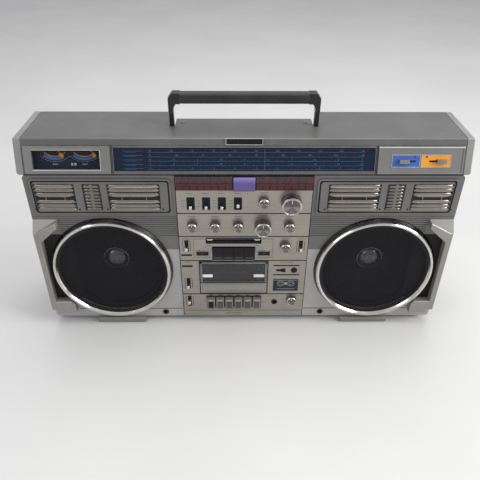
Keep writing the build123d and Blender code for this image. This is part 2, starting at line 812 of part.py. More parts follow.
def tape_transports():
    """The slot-in player's tunnel and the recording deck's well with its spindles."""
    x, z = slot_box()
    player = block((x[0] - 3, x[1] + 3), (0, slot_depth + 4), (z[0] - 3, z[1] + 3))
    player -= block(x, (-1, slot_depth), z)
    x, z = door_box()
    well_x, well_z = (x[0] + 2.0, x[1] - 2.0), (z[0] + 1.0, z[1] + 1.0)
    start = baffle_thickness + 0.2
    shell_x, shell_z = (well_x[0] - 2.5, well_x[1] + 2.5), (well_z[0] - 2.5, well_z[1] + 1.5)
    deck = block(shell_x, (start, bay_depth + 6), shell_z)
    deck -= block(well_x, (start - 1, bay_depth), well_z)
    middle = (z[0] + z[1]) / 2 + 3.0
    for offset_x in (-21.25, 21.25):
        deck += barrel(deck_x + offset_x, middle, (bay_depth - 1.5, bay_depth + 1), 4.5)
    return player + deck


def jack(x, z, front, hole):
    """A round socket with a flange in front of its panel."""
    body = barrel(x, z, (front, front + jack_depth), jack_radius - 1)
    body += barrel(x, z, (front - 1.2, front), jack_radius)
    return body - barrel(x, z, (front - 2, front + jack_depth - 3), hole)


def rear_jacks(cut=False):
    """Line sockets and the mains inlet on the rear face."""
    z = body_top - line_socket_drop
    opening = (case_depth - wall - 1, case_depth + 1)
    group = None
    for i in range(line_socket_count):
        x = body_half - line_socket_margin - line_socket_pitch * i
        if cut:
            piece = barrel(x, z, opening, line_socket_radius)
        else:
            piece = barrel(x, z, (case_depth - 14.0, case_depth), line_socket_radius)
            piece -= barrel(x, z, (case_depth - 9.0, case_depth + 1), 0.7 * line_socket_radius)
            piece += barrel(x, z, (case_depth - 12.0, case_depth - 1.0), 1.6)
        group = piece if group is None else group + piece
    x = -body_half + inlet_margin
    width, height, length = inlet_size
    inlet_x = (x - width / 2, x + width / 2)
    inlet_z = (foot_height + inlet_margin, foot_height + inlet_margin + height)
    if cut:
        return group + block(inlet_x, opening, inlet_z)
    inlet = block(inlet_x, (case_depth - length, case_depth), inlet_z)
    cup_x, cup_z = (inlet_x[0] + 2.5, inlet_x[1] - 2.5), (inlet_z[0] + 3.5, inlet_z[1] - 3.5)
    inlet -= block(cup_x, (case_depth - length + 4.0, case_depth + 1), cup_z)
    for pin in (-4.0, 4.0):
        depth = (case_depth - length + 3.0, case_depth - 3.0)
        inlet += barrel(x + pin, inlet_z[0] + height / 2, depth, 1.2)
    return group + inlet


def jack_sockets():
    """All the sockets."""
    x, rise = microphone_jack
    group = both_sides(jack(x, foot_height + rise, 0, plug_hole_radius))
    row, x, rise = headphone_jack
    group += jack(x, rows[row][0] + rise, fascia_front, plug_hole_radius)
    row, x, rise = remote_jack
    group += jack(x, rows[row][0] + rise, fascia_front, small_plug_radius)
    return group + rear_jacks()


# ---- Dial and meters ----
def dial_glass():
    """Dark dial glass and the clear pane over the meters."""
    w = (-glass_recess - glass_thickness, -glass_recess)
    return on_band(dial_span, (dial_low, dial_high), w) + on_band(meter_span, meter_window, w)


def dial_back_plate():
    """Tray behind the dial glass and the meters that carries their scales."""
    u = (meter_span[0] - tray_rise + 0.5, dial_span[1] + tray_rise - 0.5)
    v = (dial_low - 1.0, dial_high + tray_rise)
    back_w = -wall - dial_gap
    tray = on_band(u, v, (back_w - dial_plate_thickness, -wall))
    hollow_u = (u[0] + tray_wall, u[1] - tray_wall)
    tray -= on_band(hollow_u, (v[0] + 0.8, v[1] - tray_wall), (back_w, -wall + 1))
    for centre in meter_centres.values():
        tray -= band_pin(centre, needle_pivot_v, (back_w - 2.0, back_w + 1), 1.0 + running)
    return tray


def dial_pointer():
    """Thin vertical pointer that runs along the dial, on a small carriage."""
    u = (pointer_u - pointer_width / 2, pointer_u + pointer_width / 2)
    w = -wall - dial_gap
    pointer = on_band(u, (dial_low + 1.0, dial_high + 2.0), (w + 2.0, w + 3.2))
    pointer += on_band((u[0] - 5, u[1] + 5), (dial_high + 0.6, dial_high + 2.6), (w + 1.0, w + 3.6))
    return pointer


def meter_needle(side):
    """Needle that hangs from a pivot at the top of its meter."""
    w = -wall - dial_gap
    centre = meter_centres[side]
    pin = band_pin(centre, needle_pivot_v, (w - 1.5, w + 2.4), 1.0)
    hub = band_pin(centre, needle_pivot_v, (w + 1.0, w + 2.4), 3.0)
    tilt = Pos(0, back(-band_overhang), band_low) * Rot(90 - band_angle, 0, 0)
    arm = Pos(0, -needle_length / 2, 0) * Box(1.2, needle_length, 0.8)
    arm = tilt * Pos(centre, needle_pivot_v, w + 1.8) * Rot(0, 0, needle_rest_angle) * arm
    return pin + hub + arm


# ---- Moving controls ----
def knob(name):
    """A knob with a knurled skirt, a bright cap and a shaft."""
    x, z = control_spot(name)
    radius, reach = knobs[name][3:]
    front = fascia_front - reach
    body = barrel(x, z, (front, fascia_front - clearance), radius)
    rim = edges_at(body, front)
    body = chamfer(rim, 1.2)
    body += barrel(x, z, (fascia_front - clearance - 1, shaft_depth), shaft_radius)
    mark = block((x - 0.6, x + 0.6), (front - 1, front + 0.5), (z + radius * 0.35, z + radius * 0.8))
    return body - mark


def edges_at(solid, depth):
    """Round edges of a bar at this distance behind the baffle."""
    return [e for e in solid.edges().filter_by(GeomType.CIRCLE) if abs(e.center().Y - back(depth)) < 0.01]


def lever(name):
    """A short lever on a slide plate that closes its slot from behind."""
    x, z = control_spot(name)
    z += levers[name][3]
    half = lever_size[0] / 2
    plate_half_x = lever_slot[0] / 2 + 1.5
    plate_half_z = lever_slot[1] / 2 + lever_travel + 1.0
    plate = block((x - plate_half_x, x + plate_half_x), (clearance, clearance + 1.5),
                  (z - plate_half_z, z + plate_half_z))
    stick = side_prism([
        (clearance, z - lever_size[1] / 2), (clearance, z + lever_size[1] / 2),
        (fascia_front - lever_reach, z + lever_size[1] / 2 - 1.5),
        (fascia_front - lever_reach, z - lever_size[1] / 2 + 1.5),
    ], (x - half, x + half))
    return plate + stick


def player_key(i):
    """A piano key of the slot-in player, hinged well behind the panel."""
    x = player_key_x(i)
    low, high = player_key_z()
    top, bottom = high - 2.5, high - 9.0
    outline = [
        (-14.0, low + 4.0), (-14.0, low + 11.5), (-11.0, low + 14.0), (-4.0, top),
        (player_key_pivot, top), (player_key_pivot, bottom), (4.0, bottom), (-1.0, low + 4.0),
    ]
    span = (x, x + player_key_width)
    return side_prism(outline, span) + axle(span, player_key_pivot, (top + bottom) / 2, (top - bottom) / 2)


def deck_key(i):
    """A push key of the recording deck with a finger ridge on its upper end."""
    x = deck_key_x(i)
    half = deck_key_size[0] / 2
    low, high = deck_key_z()
    front = fascia_front - deck_key_reach
    key = block((x - half, x + half), (front, 10.0), (low, high))
    key -= block((x - half + 2.5, x + half - 2.5), (front - 1, front + 1.2), (low + 2.5, high - 6.5))
    key += block((x - half + 3.0, x + half - 3.0), (front - 1.5, front + 1), (high - 4.0, high - 1.0))
    return key


def slide_switch(name):
    """A bright slider in a slot of the right-hand bezel."""
    u = switch_slots[name]
    half_u, half_v = switch_size[0] / 2, switch_size[1] / 2
    w = bezel_proud + 0.4
    slider = on_band((u - half_u, u + half_u), (switch_v - half_v, switch_v + half_v), (w, w + switch_reach))
    slider += on_band((u - 4.0, u + 4.0), (switch_v - 1.6, switch_v + 1.6), (-wall - 3.0, w))
    return slider


def cassette_door():
    """Door frame with a bright lower bar and the two rails that hold a cassette."""
    x, z = door_box()
    depth = (-door_proud, door_thickness - door_proud)
    radius = door_thickness / 2
    door = block(x, depth, (z[0] + radius, z[1]))
    door += axle(x, radius - door_proud, z[0] + radius, radius)
    pane_z = (z[0] + door_window_low, z[1] - door_frame)
    door -= block((x[0] + door_frame, x[1] - door_frame), (-5, 3), pane_z)
    rail_x = (x[0] + 6.0, x[0] + 6.0 + rail_thickness)
    for low, high in (rail_x, (2 * deck_x - rail_x[1], 2 * deck_x - rail_x[0])):
        door += block((low, high), (depth[1] - 1.0, bay_depth - 3.0), (z[0] + 12.0, z[1] - 14.0))
    return door


def cassette_window():
    """Smoked pane of the cassette door."""
    x, z = door_box()
    pane_z = (z[0] + door_window_low, z[1] - door_frame)
    return block((x[0] + door_frame, x[1] - door_frame), (-3.0, -1.0), pane_z)


# ---- Handle ----
def handle_frame():
    """Two legs with angular end fittings, joined by the core of the grip."""
    half = handle_width / 2
    leg_x, leg_y = handle_leg
    top = pivot_z + handle_rise
    grip_low = top - grip_section[0]
    inner = half - leg_x
    leg = block((inner, half), (pivot_back - leg_y / 2, pivot_back + leg_y / 2), (pivot_z, top - 12.0))
    leg += axle((inner, half), pivot_back, pivot_z, leg_y / 2)
    leg += axle((half - 1, half + pin_length), pivot_back, pivot_z, pin_radius)
    fitting = front_prism([
        (half, top - 34.0), (half, top - 9.0), (half - 7.0, top), (half - 20.5, top),
        (half - 20.5, grip_low), (half - 13.0, grip_low), (inner, grip_low - 8.0), (inner, top - 34.0),
    ], (pivot_back - 8.0, pivot_back + 8.0))
    core = block((-half + 19.0, half - 19.0), (pivot_back - grip_core / 2, pivot_back + grip_core / 2),
                 (top - grip_section[0] / 2 - grip_core / 2, top - grip_section[0] / 2 + grip_core / 2))
    return both_sides(leg + fitting) + core


def handle_grip():
    """Ribbed sleeve over the core of the handle."""
    half = handle_width / 2 - 20.5
    height, depth = grip_section
    top = pivot_z + handle_rise
    middle = top - height / 2
    sketch = RectangleRounded(depth, height, 5.0)
    sleeve = extrude(sketch, amount=2 * half)
    sleeve = Pos(-half, back(pivot_back), middle) * Rot(0, 90, 0) * Rot(0, 0, 90) * sleeve
    for i in range(7):
        z = middle - 6.6 + 2.2 * i
        for sign in (-1, 1):
            y = pivot_back + sign * depth / 2
            sleeve -= block((-half - 1, half + 1), (y - 0.7, y + 0.7), (z - 0.4, z + 0.4))
    core = grip_core / 2
    return sleeve - block((-half - 1, half + 1), (pivot_back - core, pivot_back + core),
                          (middle - core, middle + core))


# ---- Aerials ----
def mast_end():
    """X of the outer end of a stored mast."""
    return roof_half - mast_end_gap


def antenna_mast():
    """Right mast: a flat eye with its pin, a tongue, and a hollow tube."""
    x = mast_pivot_x
    half = eye_thickness / 2
    eye = barrel(x, mast_z, (mast_back - half, mast_back + half), eye_radius)
    eye += barrel(x, mast_z, (mast_back - half - 1.6, case_depth), eye_pin_radius)
    tongue = block((x, x + mast_root + 1), (mast_back - half, mast_back + half), (mast_z - 3.0, mast_z + 3.0))
    tube = axle((x + mast_root, mast_end()), mast_back, mast_z, mast_radius)
    bore = axle((mast_end() - rod_length - 4.0, mast_end() + 1), mast_back, mast_z, rod_radius + 0.4)
    return eye + tongue + tube - bore


def antenna_rod():
    """Right telescopic rod, stored inside its mast, with a button on its end."""
    end = mast_end()
    rod = axle((end - rod_length, end + 2.0), mast_back, mast_z, rod_radius)
    return rod + axle((end + 1.0, end + 7.0), mast_back, mast_z, mast_radius)


def battery_door():
    """Lift-off door of the battery compartment with a finger notch."""
    half = battery_size[0] / 2 + battery_lap - key_gap
    z = (battery_low - battery_lap + key_gap, battery_low + battery_size[1] + battery_lap - key_gap)
    door = block((-half, half), (case_depth - battery_door_thickness, case_depth), z)
    for i in range(5):
        z_groove = z[1] - 10.0 - 4.0 * i
        door -= block((-30, 30), (case_depth - 1.0, case_depth + 1), (z_groove, z_groove + 2.0))
    return door


def all_nodes():
    """Every node's name and solid."""
    nodes = {
        "rear_cabinet": rear_cabinet(),
        "front_baffle": front_baffle(),
        "top_housing": top_housing(),
        "end_caps": end_caps(),
        "speaker_guards": speaker_guards(),
        "feet": feet(),
        "speaker_rings": speaker_rings(),
        "speaker_grilles": speaker_grilles(),
        "speaker_drivers": speaker_drivers(),
        "horn_panels": horn_panels(),
        "control_fascia": control_fascia(),
        "display_strip": display_strip(),
        "dial_glass": dial_glass(),
        "dial_back_plate": dial_back_plate(),
        "circuit_board": circuit_board(),
        "power_transformer": power_transformer(),
        "tape_transports": tape_transports(),
        "jack_sockets": jack_sockets(),
        "screws": screws(),
        "handle_frame": handle_frame(),
        "handle_grip": handle_grip(),
        "cassette_door": cassette_door(),
        "cassette_window": cassette_window(),
        "dial_pointer": dial_pointer(),
        "meter_needle_left": meter_needle("left"),
        "meter_needle_right": meter_needle("right"),
        "antenna_mast_right": antenna_mast(),
        "antenna_rod_right": antenna_rod(),
        "antenna_mast_left": mirror(antenna_mast(), about=Plane.YZ),
        "antenna_rod_left": mirror(antenna_rod(), about=Plane.YZ),
        "battery_door": battery_door(),
    }
    for name in knobs:
        nodes[name] = knob(name)
    for name in levers:
        nodes[name] = lever(name)
    for name in switch_slots:
        nodes[name] = slide_switch(name)
    for i, name in enumerate(player_keys):
        nodes[name] = player_key(i)
    for i, name in enumerate(deck_keys):
        nodes[name] = deck_key(i)
    return nodes


os.makedirs("parts", exist_ok=True)
for node_name, solid in all_nodes().items():
    export_step(solid, f"parts/{node_name}.step")
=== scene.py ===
from math import atan2, cos, hypot, pi, radians, sin

import bmesh
import bpy
from mathutils import Matrix, Vector


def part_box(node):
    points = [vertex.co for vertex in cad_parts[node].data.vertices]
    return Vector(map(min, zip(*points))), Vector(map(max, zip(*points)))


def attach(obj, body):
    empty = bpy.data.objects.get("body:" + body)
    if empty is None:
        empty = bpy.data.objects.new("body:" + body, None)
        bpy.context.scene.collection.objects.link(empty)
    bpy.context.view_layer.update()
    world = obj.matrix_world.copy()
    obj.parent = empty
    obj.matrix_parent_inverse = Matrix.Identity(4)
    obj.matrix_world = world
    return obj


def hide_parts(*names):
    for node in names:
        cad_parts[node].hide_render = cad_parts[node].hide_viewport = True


# Looks of the portable stereo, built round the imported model. All sizes below are in millimetres, and
# become metres when a mesh is written. X runs to the listener's right, Y to the back, Z up.

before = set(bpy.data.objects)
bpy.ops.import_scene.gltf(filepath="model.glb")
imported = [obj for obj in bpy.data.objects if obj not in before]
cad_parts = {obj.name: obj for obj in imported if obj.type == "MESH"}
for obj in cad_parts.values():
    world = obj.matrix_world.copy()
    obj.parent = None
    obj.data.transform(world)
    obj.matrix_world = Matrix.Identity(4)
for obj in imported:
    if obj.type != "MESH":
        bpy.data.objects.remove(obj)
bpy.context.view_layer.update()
MM = 0.001


def edges(node):
    """Lowest and highest corner of a node, in millimetres."""
    low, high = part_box(node)
    return [v / MM for v in low], [v / MM for v in high]


FASCIA_LOW, FASCIA_HIGH = edges("control_fascia")
BAFFLE = FASCIA_HIGH[1]
FRONT = FASCIA_LOW[1]
CAP_LOW, CAP_HIGH = edges("end_caps")
BODY_TOP = CAP_LOW[2]
ROOF = CAP_HIGH[2]
STRIP_LOW, STRIP_HIGH = edges("display_strip")


# ---- Materials ----
class Nodes:
    """Short names for building one material's node tree."""

    def __init__(self, name):
        self.material = bpy.data.materials.new(name)
        self.material.use_nodes = True
        self.tree = self.material.node_tree
        self.shader = self.tree.nodes["Principled BSDF"]
        self.place = self.add("ShaderNodeTexCoord").outputs["Object"]

    def add(self, kind, **settings):
        node = self.tree.nodes.new(kind)
        for key, value in settings.items():
            setattr(node, key, value)
        return node

    def link(self, source, target):
        self.tree.links.new(source, target)

    def stretched(self, scale):
        """Object coordinates, scaled along each axis."""
        mapping = self.add("ShaderNodeMapping")
        mapping.inputs["Scale"].default_value = scale
        self.link(self.place, mapping.inputs["Vector"])
        return mapping.outputs["Vector"]

    def noise(self, scale, detail=3.0, vector=None, roughness=0.5):
        node = self.add("ShaderNodeTexNoise")
        node.inputs["Scale"].default_value = scale
        node.inputs["Detail"].default_value = detail
        node.inputs["Roughness"].default_value = roughness
        self.link(vector or self.place, node.inputs["Vector"])
        return node.outputs["Fac"]

    def ramp(self, value, stops):
        """A colour ramp from (position, colour) pairs."""
        node = self.add("ShaderNodeValToRGB")
        elements = node.color_ramp.elements
        while len(elements) < len(stops):
            elements.new(0.5)
        for element, (position, colour) in zip(elements, stops):
            element.position = position
            element.color = colour if len(colour) == 4 else (*colour, 1.0)
        self.link(value, node.inputs["Fac"])
        return node.outputs["Color"]

    def span(self, value, low, high, start=0.3, end=0.7):
        """The value between start and end, spread from low to high."""
        node = self.add("ShaderNodeMapRange")
        node.inputs["From Min"].default_value = start
        node.inputs["From Max"].default_value = end
        node.inputs["To Min"].default_value = low
        node.inputs["To Max"].default_value = high
        self.link(value, node.inputs["Value"])
        return node.outputs["Result"]

    def mix(self, factor, first, second, blend="MIX"):
        """Two colours mixed by a factor; each is a socket or a colour."""
        node = self.add("ShaderNodeMix", data_type="RGBA", blend_type=blend)
        for socket, value in ((node.inputs[0], factor), (node.inputs[6], first), (node.inputs[7], second)):
            if hasattr(value, "links"):
                self.link(value, socket)
            elif isinstance(value, tuple):
                socket.default_value = (*value[:3], 1.0)
            else:
                socket.default_value = value
        return node.outputs[2]

    def bump(self, height, strength, distance=0.0002):
        node = self.add("ShaderNodeBump")
        node.inputs["Strength"].default_value = strength
        node.inputs["Distance"].default_value = distance
        self.link(height, node.inputs["Height"])
        self.link(node.outputs["Normal"], self.shader.inputs["Normal"])

    def worn_edge(self, radius):
        """About 1 on edges that hands and floors rub, from how far a rounded normal turns."""
        bevel = self.add("ShaderNodeBevel", samples=4)
        bevel.inputs["Radius"].default_value = radius
        geometry = self.add("ShaderNodeNewGeometry")
        turn = self.add("ShaderNodeVectorMath", operation="DOT_PRODUCT")
        self.link(bevel.outputs["Normal"], turn.inputs[0])
        self.link(geometry.outputs["Normal"], turn.inputs[1])
        return self.span(turn.outputs["Value"], 1.0, 0.0, 0.75, 0.98)

    def colour(self, source):
        self.link(source, self.shader.inputs["Base Color"])

    def rough(self, source):
        self.link(source, self.shader.inputs["Roughness"])

    def set(self, **values):
        """Sets constant values on the shader's own sockets."""
        for key, value in values.items():
            self.shader.inputs[key.replace("_", " ")].default_value = value


def shade(colour, factor):
    return tuple(min(1.0, c * factor) for c in colour[:3])


def painted(name, colour, metallic=0.35, rough=0.42, grain=0.10, wear=0.0, bare=(0.55, 0.54, 0.52),
            radius=0.0012):
    """Paint or moulded plastic with a fine speckle, soft mottling, and optional wear along the edges."""
    n = Nodes(name)
    mottle = n.noise(14.0, 4.0)
    speck = n.noise(1600.0, 2.0)
    base = n.ramp(mottle, [(0.3, shade(colour, 1.0 - grain)), (0.7, shade(colour, 1.0 + grain))])
    flecks = n.ramp(speck, [(0.35, (0.80, 0.80, 0.80)), (0.65, (1.16, 1.16, 1.16))])
    base = n.mix(0.5, base, flecks, "MULTIPLY")
    if wear:
        patchy = n.span(n.noise(90.0, 5.0, roughness=0.7), 0.0, 1.0, 0.52 - 0.2 * wear, 0.62)
        edge = n.add("ShaderNodeMath", operation="MULTIPLY")
        n.link(n.worn_edge(radius), edge.inputs[0])
        n.link(patchy, edge.inputs[1])
        base = n.mix(edge.outputs["Value"], base, bare)
    n.colour(base)
    n.rough(n.span(n.noise(45.0, 5.0, roughness=0.65), rough - 0.07, rough + 0.10))
    n.bump(speck, 0.18, 0.00008)
    n.set(Metallic=metallic)
    return n.material


def brushed(name, colour, axis=0, metallic=0.85, rough=0.34, streak=0.10, stops=(0.3, 0.7)):
    """Brushed metal whose fine lines run along one axis."""
    n = Nodes(name)
    scale = [900.0, 900.0, 900.0]
    scale[axis] = 14.0
    lines = n.noise(1.0, 4.0, n.stretched(tuple(scale)), 0.6)
    cloud = n.noise(11.0, 3.0)
    fine = n.ramp(lines, [(stops[0], shade(colour, 1.0 - streak)), (stops[1], shade(colour, 1.0 + streak))])
    tint = n.ramp(cloud, [(0.3, (0.93, 0.92, 0.90)), (0.7, (1.05, 1.05, 1.05))])
    n.colour(n.mix(1.0, fine, tint, "MULTIPLY"))
    n.rough(n.span(lines, rough - 0.08, rough + 0.12))
    n.bump(lines, 0.12, 0.00006)
    n.set(Metallic=metallic)
    return n.material


def chrome(name, colour=(0.72, 0.71, 0.70), rough=0.12):
    """Plated metal with faint smears and pits."""
    n = Nodes(name)
    smear = n.noise(38.0, 5.0, roughness=0.7)
    pits = n.noise(900.0, 2.0)
    n.colour(n.ramp(smear, [(0.3, shade(colour, 0.88)), (0.7, shade(colour, 1.08))]))
    n.rough(n.span(smear, rough, rough + 0.14, 0.35, 0.75))
    n.bump(pits, 0.06, 0.00005)
    n.set(Metallic=1.0)
    return n.material


def plastic(name, colour, rough=0.35, grain=0.15, texture=700.0, depth=0.15):
    """Moulded plastic with a fine texture."""
    n = Nodes(name)
    cloud = n.noise(30.0, 4.0)
    skin = n.noise(texture, 2.0)
    n.colour(n.ramp(cloud, [(0.3, shade(colour, 1.0 - grain)), (0.7, shade(colour, 1.0 + grain))]))
    n.rough(n.span(n.noise(60.0, 5.0), rough - 0.06, rough + 0.10))
    n.bump(skin, depth, 0.0001)
    if max(colour) < 0.06:
        n.set(**{"Specular IOR Level": 0.22})
    return n.material


def glassy(name, colour, alpha, rough=0.06, smudge=0.06):
    """A tinted clear pane with faint smudges."""
    n = Nodes(name)
    smear = n.noise(24.0, 5.0, roughness=0.7)
    n.colour(n.ramp(smear, [(0.3, shade(colour, 0.85)), (0.7, shade(colour, 1.15))]))
    n.rough(n.span(smear, rough, rough + smudge, 0.4, 0.8))
    n.set(Alpha=alpha, IOR=1.49)
    return n.material


def glitter(name, dark, bright, scale=420.0):
    """Cells of a moulded reflector seen through a coloured window."""
    n = Nodes(name)
    cells = n.add("ShaderNodeTexVoronoi", feature="F1")
    cells.inputs["Scale"].default_value = scale
    n.link(n.place, cells.inputs["Vector"])
    cell_value = n.span(cells.outputs["Distance"], 0.0, 1.0, 0.1, 0.6)
    n.colour(n.ramp(cell_value, [(0.0, bright), (0.55, dark)]))
    n.rough(n.span(cell_value, 0.12, 0.3, 0.0, 1.0))
    n.bump(cells.outputs["Distance"], 0.4, 0.0002)
    return n.material


M = {}


def make_materials():
    """Every finish on the radio, by name."""
    M["casing"] = painted("casing_grey", (0.118, 0.116, 0.112), wear=0.5, bare=(0.34, 0.33, 0.31),
                          radius=0.0009)
    M["shell"] = painted("rear_grey", (0.105, 0.104, 0.101), metallic=0.25, rough=0.5)
    M["baffle"] = baffle_paint()
    M["guard"] = painted("guard_silver", (0.27, 0.264, 0.25), metallic=0.4, wear=1.0,
                         bare=(0.42, 0.38, 0.30), radius=0.0022)
    M["cap"] = painted("cap_grey", (0.235, 0.233, 0.228), metallic=0.35, wear=0.7, bare=(0.40, 0.39, 0.36))
    M["foot"] = painted("foot_grey", (0.175, 0.172, 0.165), metallic=0.1, rough=0.55)
    M["horn_plate"] = painted("horn_plate", (0.155, 0.150, 0.144), metallic=0.4)
    M["champagne"] = brushed("champagne", (0.355, 0.332, 0.297), rough=0.30)
    M["louvre"] = brushed("louvre_champagne", (0.23, 0.212, 0.19), rough=0.30, metallic=0.75)
    M["bezel"] = brushed("bezel_grey", (0.20, 0.198, 0.195), rough=0.42, metallic=0.5, streak=0.05)
    M["chrome"] = chrome("chrome")
    M["ring"] = chrome("ring_chrome", (0.66, 0.64, 0.60), 0.10)
    # Painted reflection: a dark copy of the ring chrome, laid on the outer flanks of the speaker rings.
    M["ring_painted_dark_reflection"] = chrome("ring_painted_dark_reflection", (0.10, 0.095, 0.10), 0.22)
    M["steel"] = brushed("steel", (0.32, 0.31, 0.30), axis=2, rough=0.3)
    M["rod"] = chrome("rod_chrome", (0.62, 0.62, 0.62), 0.14)
    M["knob_side"] = chrome("knob_side", (0.20, 0.19, 0.18), 0.26)
    M["knob_rim"] = chrome("knob_rim", (0.50, 0.475, 0.44), 0.16)
    M["knob_face"] = turned_metal("knob_face", (0.15, 0.14, 0.13))
    M["black"] = plastic("black_plastic", (0.013, 0.013, 0.014))
    M["gloss_black"] = plastic("gloss_black", (0.008, 0.008, 0.010), rough=0.12, depth=0.03)
    M["mesh"] = painted("mesh_black", (0.012, 0.012, 0.015), metallic=0.4, rough=0.5, grain=0.2)
    M["cone"] = plastic("cone_paper", (0.016, 0.016, 0.018), rough=0.75, texture=300.0, depth=0.5)
    M["rubber"] = plastic("surround_rubber", (0.010, 0.010, 0.011), rough=0.5)
    M["dust_cap"] = chrome("dust_cap", (0.26, 0.26, 0.27), 0.16)
    M["grip"] = plastic("grip_grey", (0.040, 0.040, 0.038), rough=0.55, texture=500.0, depth=0.35)
    M["handle"] = painted("handle_black", (0.016, 0.016, 0.018), metallic=0.3, rough=0.34, wear=0.9,
                          bare=(0.40, 0.39, 0.37), radius=0.0009)
    M["dial_glass"] = glassy("dial_glass", (0.006, 0.013, 0.040), 0.50)
    M["dial_print"] = plastic("dial_print", (0.030, 0.095, 0.19), rough=0.6)
    M["rim_bright"] = brushed("rim_bright", (0.55, 0.55, 0.54), rough=0.3, metallic=0.6)
    M["slider"] = chrome("slider_chrome", (0.42, 0.41, 0.39), 0.22)
    M["smoked"] = glassy("smoked_pane", (0.060, 0.061, 0.063), 0.50, 0.10)
    M["dial_plate"] = plastic("dial_plate", (0.012, 0.018, 0.040), rough=0.45)
    M["print_blue"] = plastic("print_blue", (0.05, 0.16, 0.55), rough=0.5)
    M["print_white"] = plastic("print_white", (0.62, 0.63, 0.62), rough=0.5)
    M["print_black"] = plastic("print_black", (0.012, 0.012, 0.012), rough=0.6)
    M["orange"] = plastic("orange_paint", (0.75, 0.30, 0.02), rough=0.4)
    M["pointer"] = plastic("pointer_white", (0.70, 0.70, 0.66), rough=0.4)
    M["red_lower"] = glitter("red_window", (0.040, 0.004, 0.007), (0.26, 0.012, 0.024))
    M["red_upper"] = glitter("grey_window", (0.032, 0.028, 0.028), (0.075, 0.062, 0.062), 300.0)
    M["red_bar"] = plastic("red_divider", (0.32, 0.010, 0.022), rough=0.25)
    M["lens"] = lens_material()
    M["plate_blue"] = brushed("plate_blue", (0.045, 0.115, 0.42), metallic=0.25, rough=0.4, streak=0.06)
    M["plate_orange"] = brushed("plate_orange", (0.72, 0.29, 0.02), metallic=0.2, rough=0.4, streak=0.06)
    M["red_led"] = plastic("red_led", (0.13, 0.018, 0.018), rough=0.2)
    M["label"] = plastic("label_cream", (0.72, 0.70, 0.62), rough=0.6)
    M["deck_dark"] = plastic("deck_dark", (0.045, 0.045, 0.046), rough=0.5)
    M["deck_mid"] = plastic("deck_mid", (0.12, 0.12, 0.121), rough=0.5)
    M["blue_screen"] = plastic("tape_symbol_panel", (0.022, 0.024, 0.034), rough=0.4)
    M["screen_line"] = plastic("tape_symbol", (0.24, 0.245, 0.27), rough=0.4)
    M["board"] = plastic("phenolic", (0.16, 0.10, 0.04), rough=0.5)
    M["iron"] = painted("laminations", (0.05, 0.05, 0.05), metallic=0.6, rough=0.5)
    M["subplate"] = brushed("subplate", (0.33, 0.32, 0.30), rough=0.30)
    M["key"] = painted("key_champagne", (0.22, 0.205, 0.185), metallic=0.5, rough=0.36)
    M["key_dark"] = painted("key_dark", (0.085, 0.078, 0.068), metallic=0.4, rough=0.4)
    M["meter_glass"] = glassy("meter_glass", (0.010, 0.011, 0.014), 0.16)
    M["print_grey"] = plastic("print_grey", (0.10, 0.098, 0.093), rough=0.5)
    M["key_black"] = plastic("piano_key", (0.010, 0.010, 0.012), rough=0.34)
    M["floor"] = floor_material()


def baffle_paint():
    """Silver paint, with one darker grey over the ribs and the band under them."""
    n = Nodes("baffle_silver")
    split = n.add("ShaderNodeSeparateXYZ")
    n.link(n.place, split.inputs["Vector"])
    height = n.span(split.outputs["Z"], 0.0, 1.0, 0.0, BODY_TOP * MM)
    zones = n.add("ShaderNodeValToRGB")
    ramp = zones.color_ramp
    ramp.interpolation = "CONSTANT"
    levels = ((0.0, 0.39), (179.6 / BODY_TOP, 0.15), (208.5 / BODY_TOP, 0.15))
    while len(ramp.elements) < len(levels):
        ramp.elements.new(0.5)
    for element, (position, value) in zip(ramp.elements, levels):
        element.position = position
        element.color = (value, value * 0.985, value * 0.96, 1.0)
    n.link(height, zones.inputs["Fac"])
    flecks = n.ramp(n.noise(1500.0, 2.0), [(0.35, (0.82, 0.82, 0.82)), (0.65, (1.15, 1.15, 1.15))])
    mottle = n.ramp(n.noise(13.0, 4.0), [(0.3, (0.92, 0.92, 0.92)), (0.7, (1.06, 1.06, 1.06))])
    base = n.mix(0.5, zones.outputs["Color"], flecks, "MULTIPLY")
    n.colour(n.mix(1.0, base, mottle, "MULTIPLY"))
    n.rough(n.span(n.noise(45.0, 5.0, roughness=0.65), 0.34, 0.48))
    n.bump(n.noise(1500.0, 2.0), 0.15, 0.00008)
    n.set(Metallic=0.4)
    return n.material


def turned_metal(name, colour):
    """Metal turned on a lathe: fine rings about an axis along Y, centred on the piece's own origin, with
    painted shade on the top of the face and painted highlights on its lower sides and bottom.
    """
    n = Nodes(name)
    flat = n.add("ShaderNodeVectorMath", operation="LENGTH")
    n.link(n.stretched((1.0, 0.0, 1.0)), flat.inputs[0])
    grooves = n.add("ShaderNodeTexNoise", noise_dimensions="1D")
    grooves.inputs["Scale"].default_value = 2200.0
    n.link(flat.outputs["Value"], grooves.inputs["W"])
    rings = grooves.outputs["Fac"]
    split = n.add("ShaderNodeSeparateXYZ")
    n.link(n.place, split.inputs["Vector"])
    around = n.add("ShaderNodeMath", operation="ARCTAN2")
    n.link(split.outputs["X"], around.inputs[0])
    n.link(split.outputs["Z"], around.inputs[1])
    folded = n.add("ShaderNodeMath", operation="ABSOLUTE")
    n.link(around.outputs[0], folded.inputs[0])
    turn = n.span(folded.outputs[0], 0.0, 1.0, 0.0, pi)
    # Painted light by the angle round the axis: painted shade over the top of the face, painted highlights
    # low on both sides and a lighter painted reflection at the bottom.
    painted_light_and_shade = n.ramp(turn, [(0.0, shade(colour, 0.7)), (0.38, shade(colour, 0.8)), (0.62, shade(colour, 2.6)),
                          (0.80, shade(colour, 1.0)), (1.0, shade(colour, 1.5))])
    fine = n.ramp(rings, [(0.3, shade(colour, 0.85)), (0.7, shade(colour, 1.2))])
    n.colour(n.mix(0.72, fine, painted_light_and_shade))
    n.rough(n.span(rings, 0.20, 0.36))
    n.set(Metallic=1.0)
    return n.material


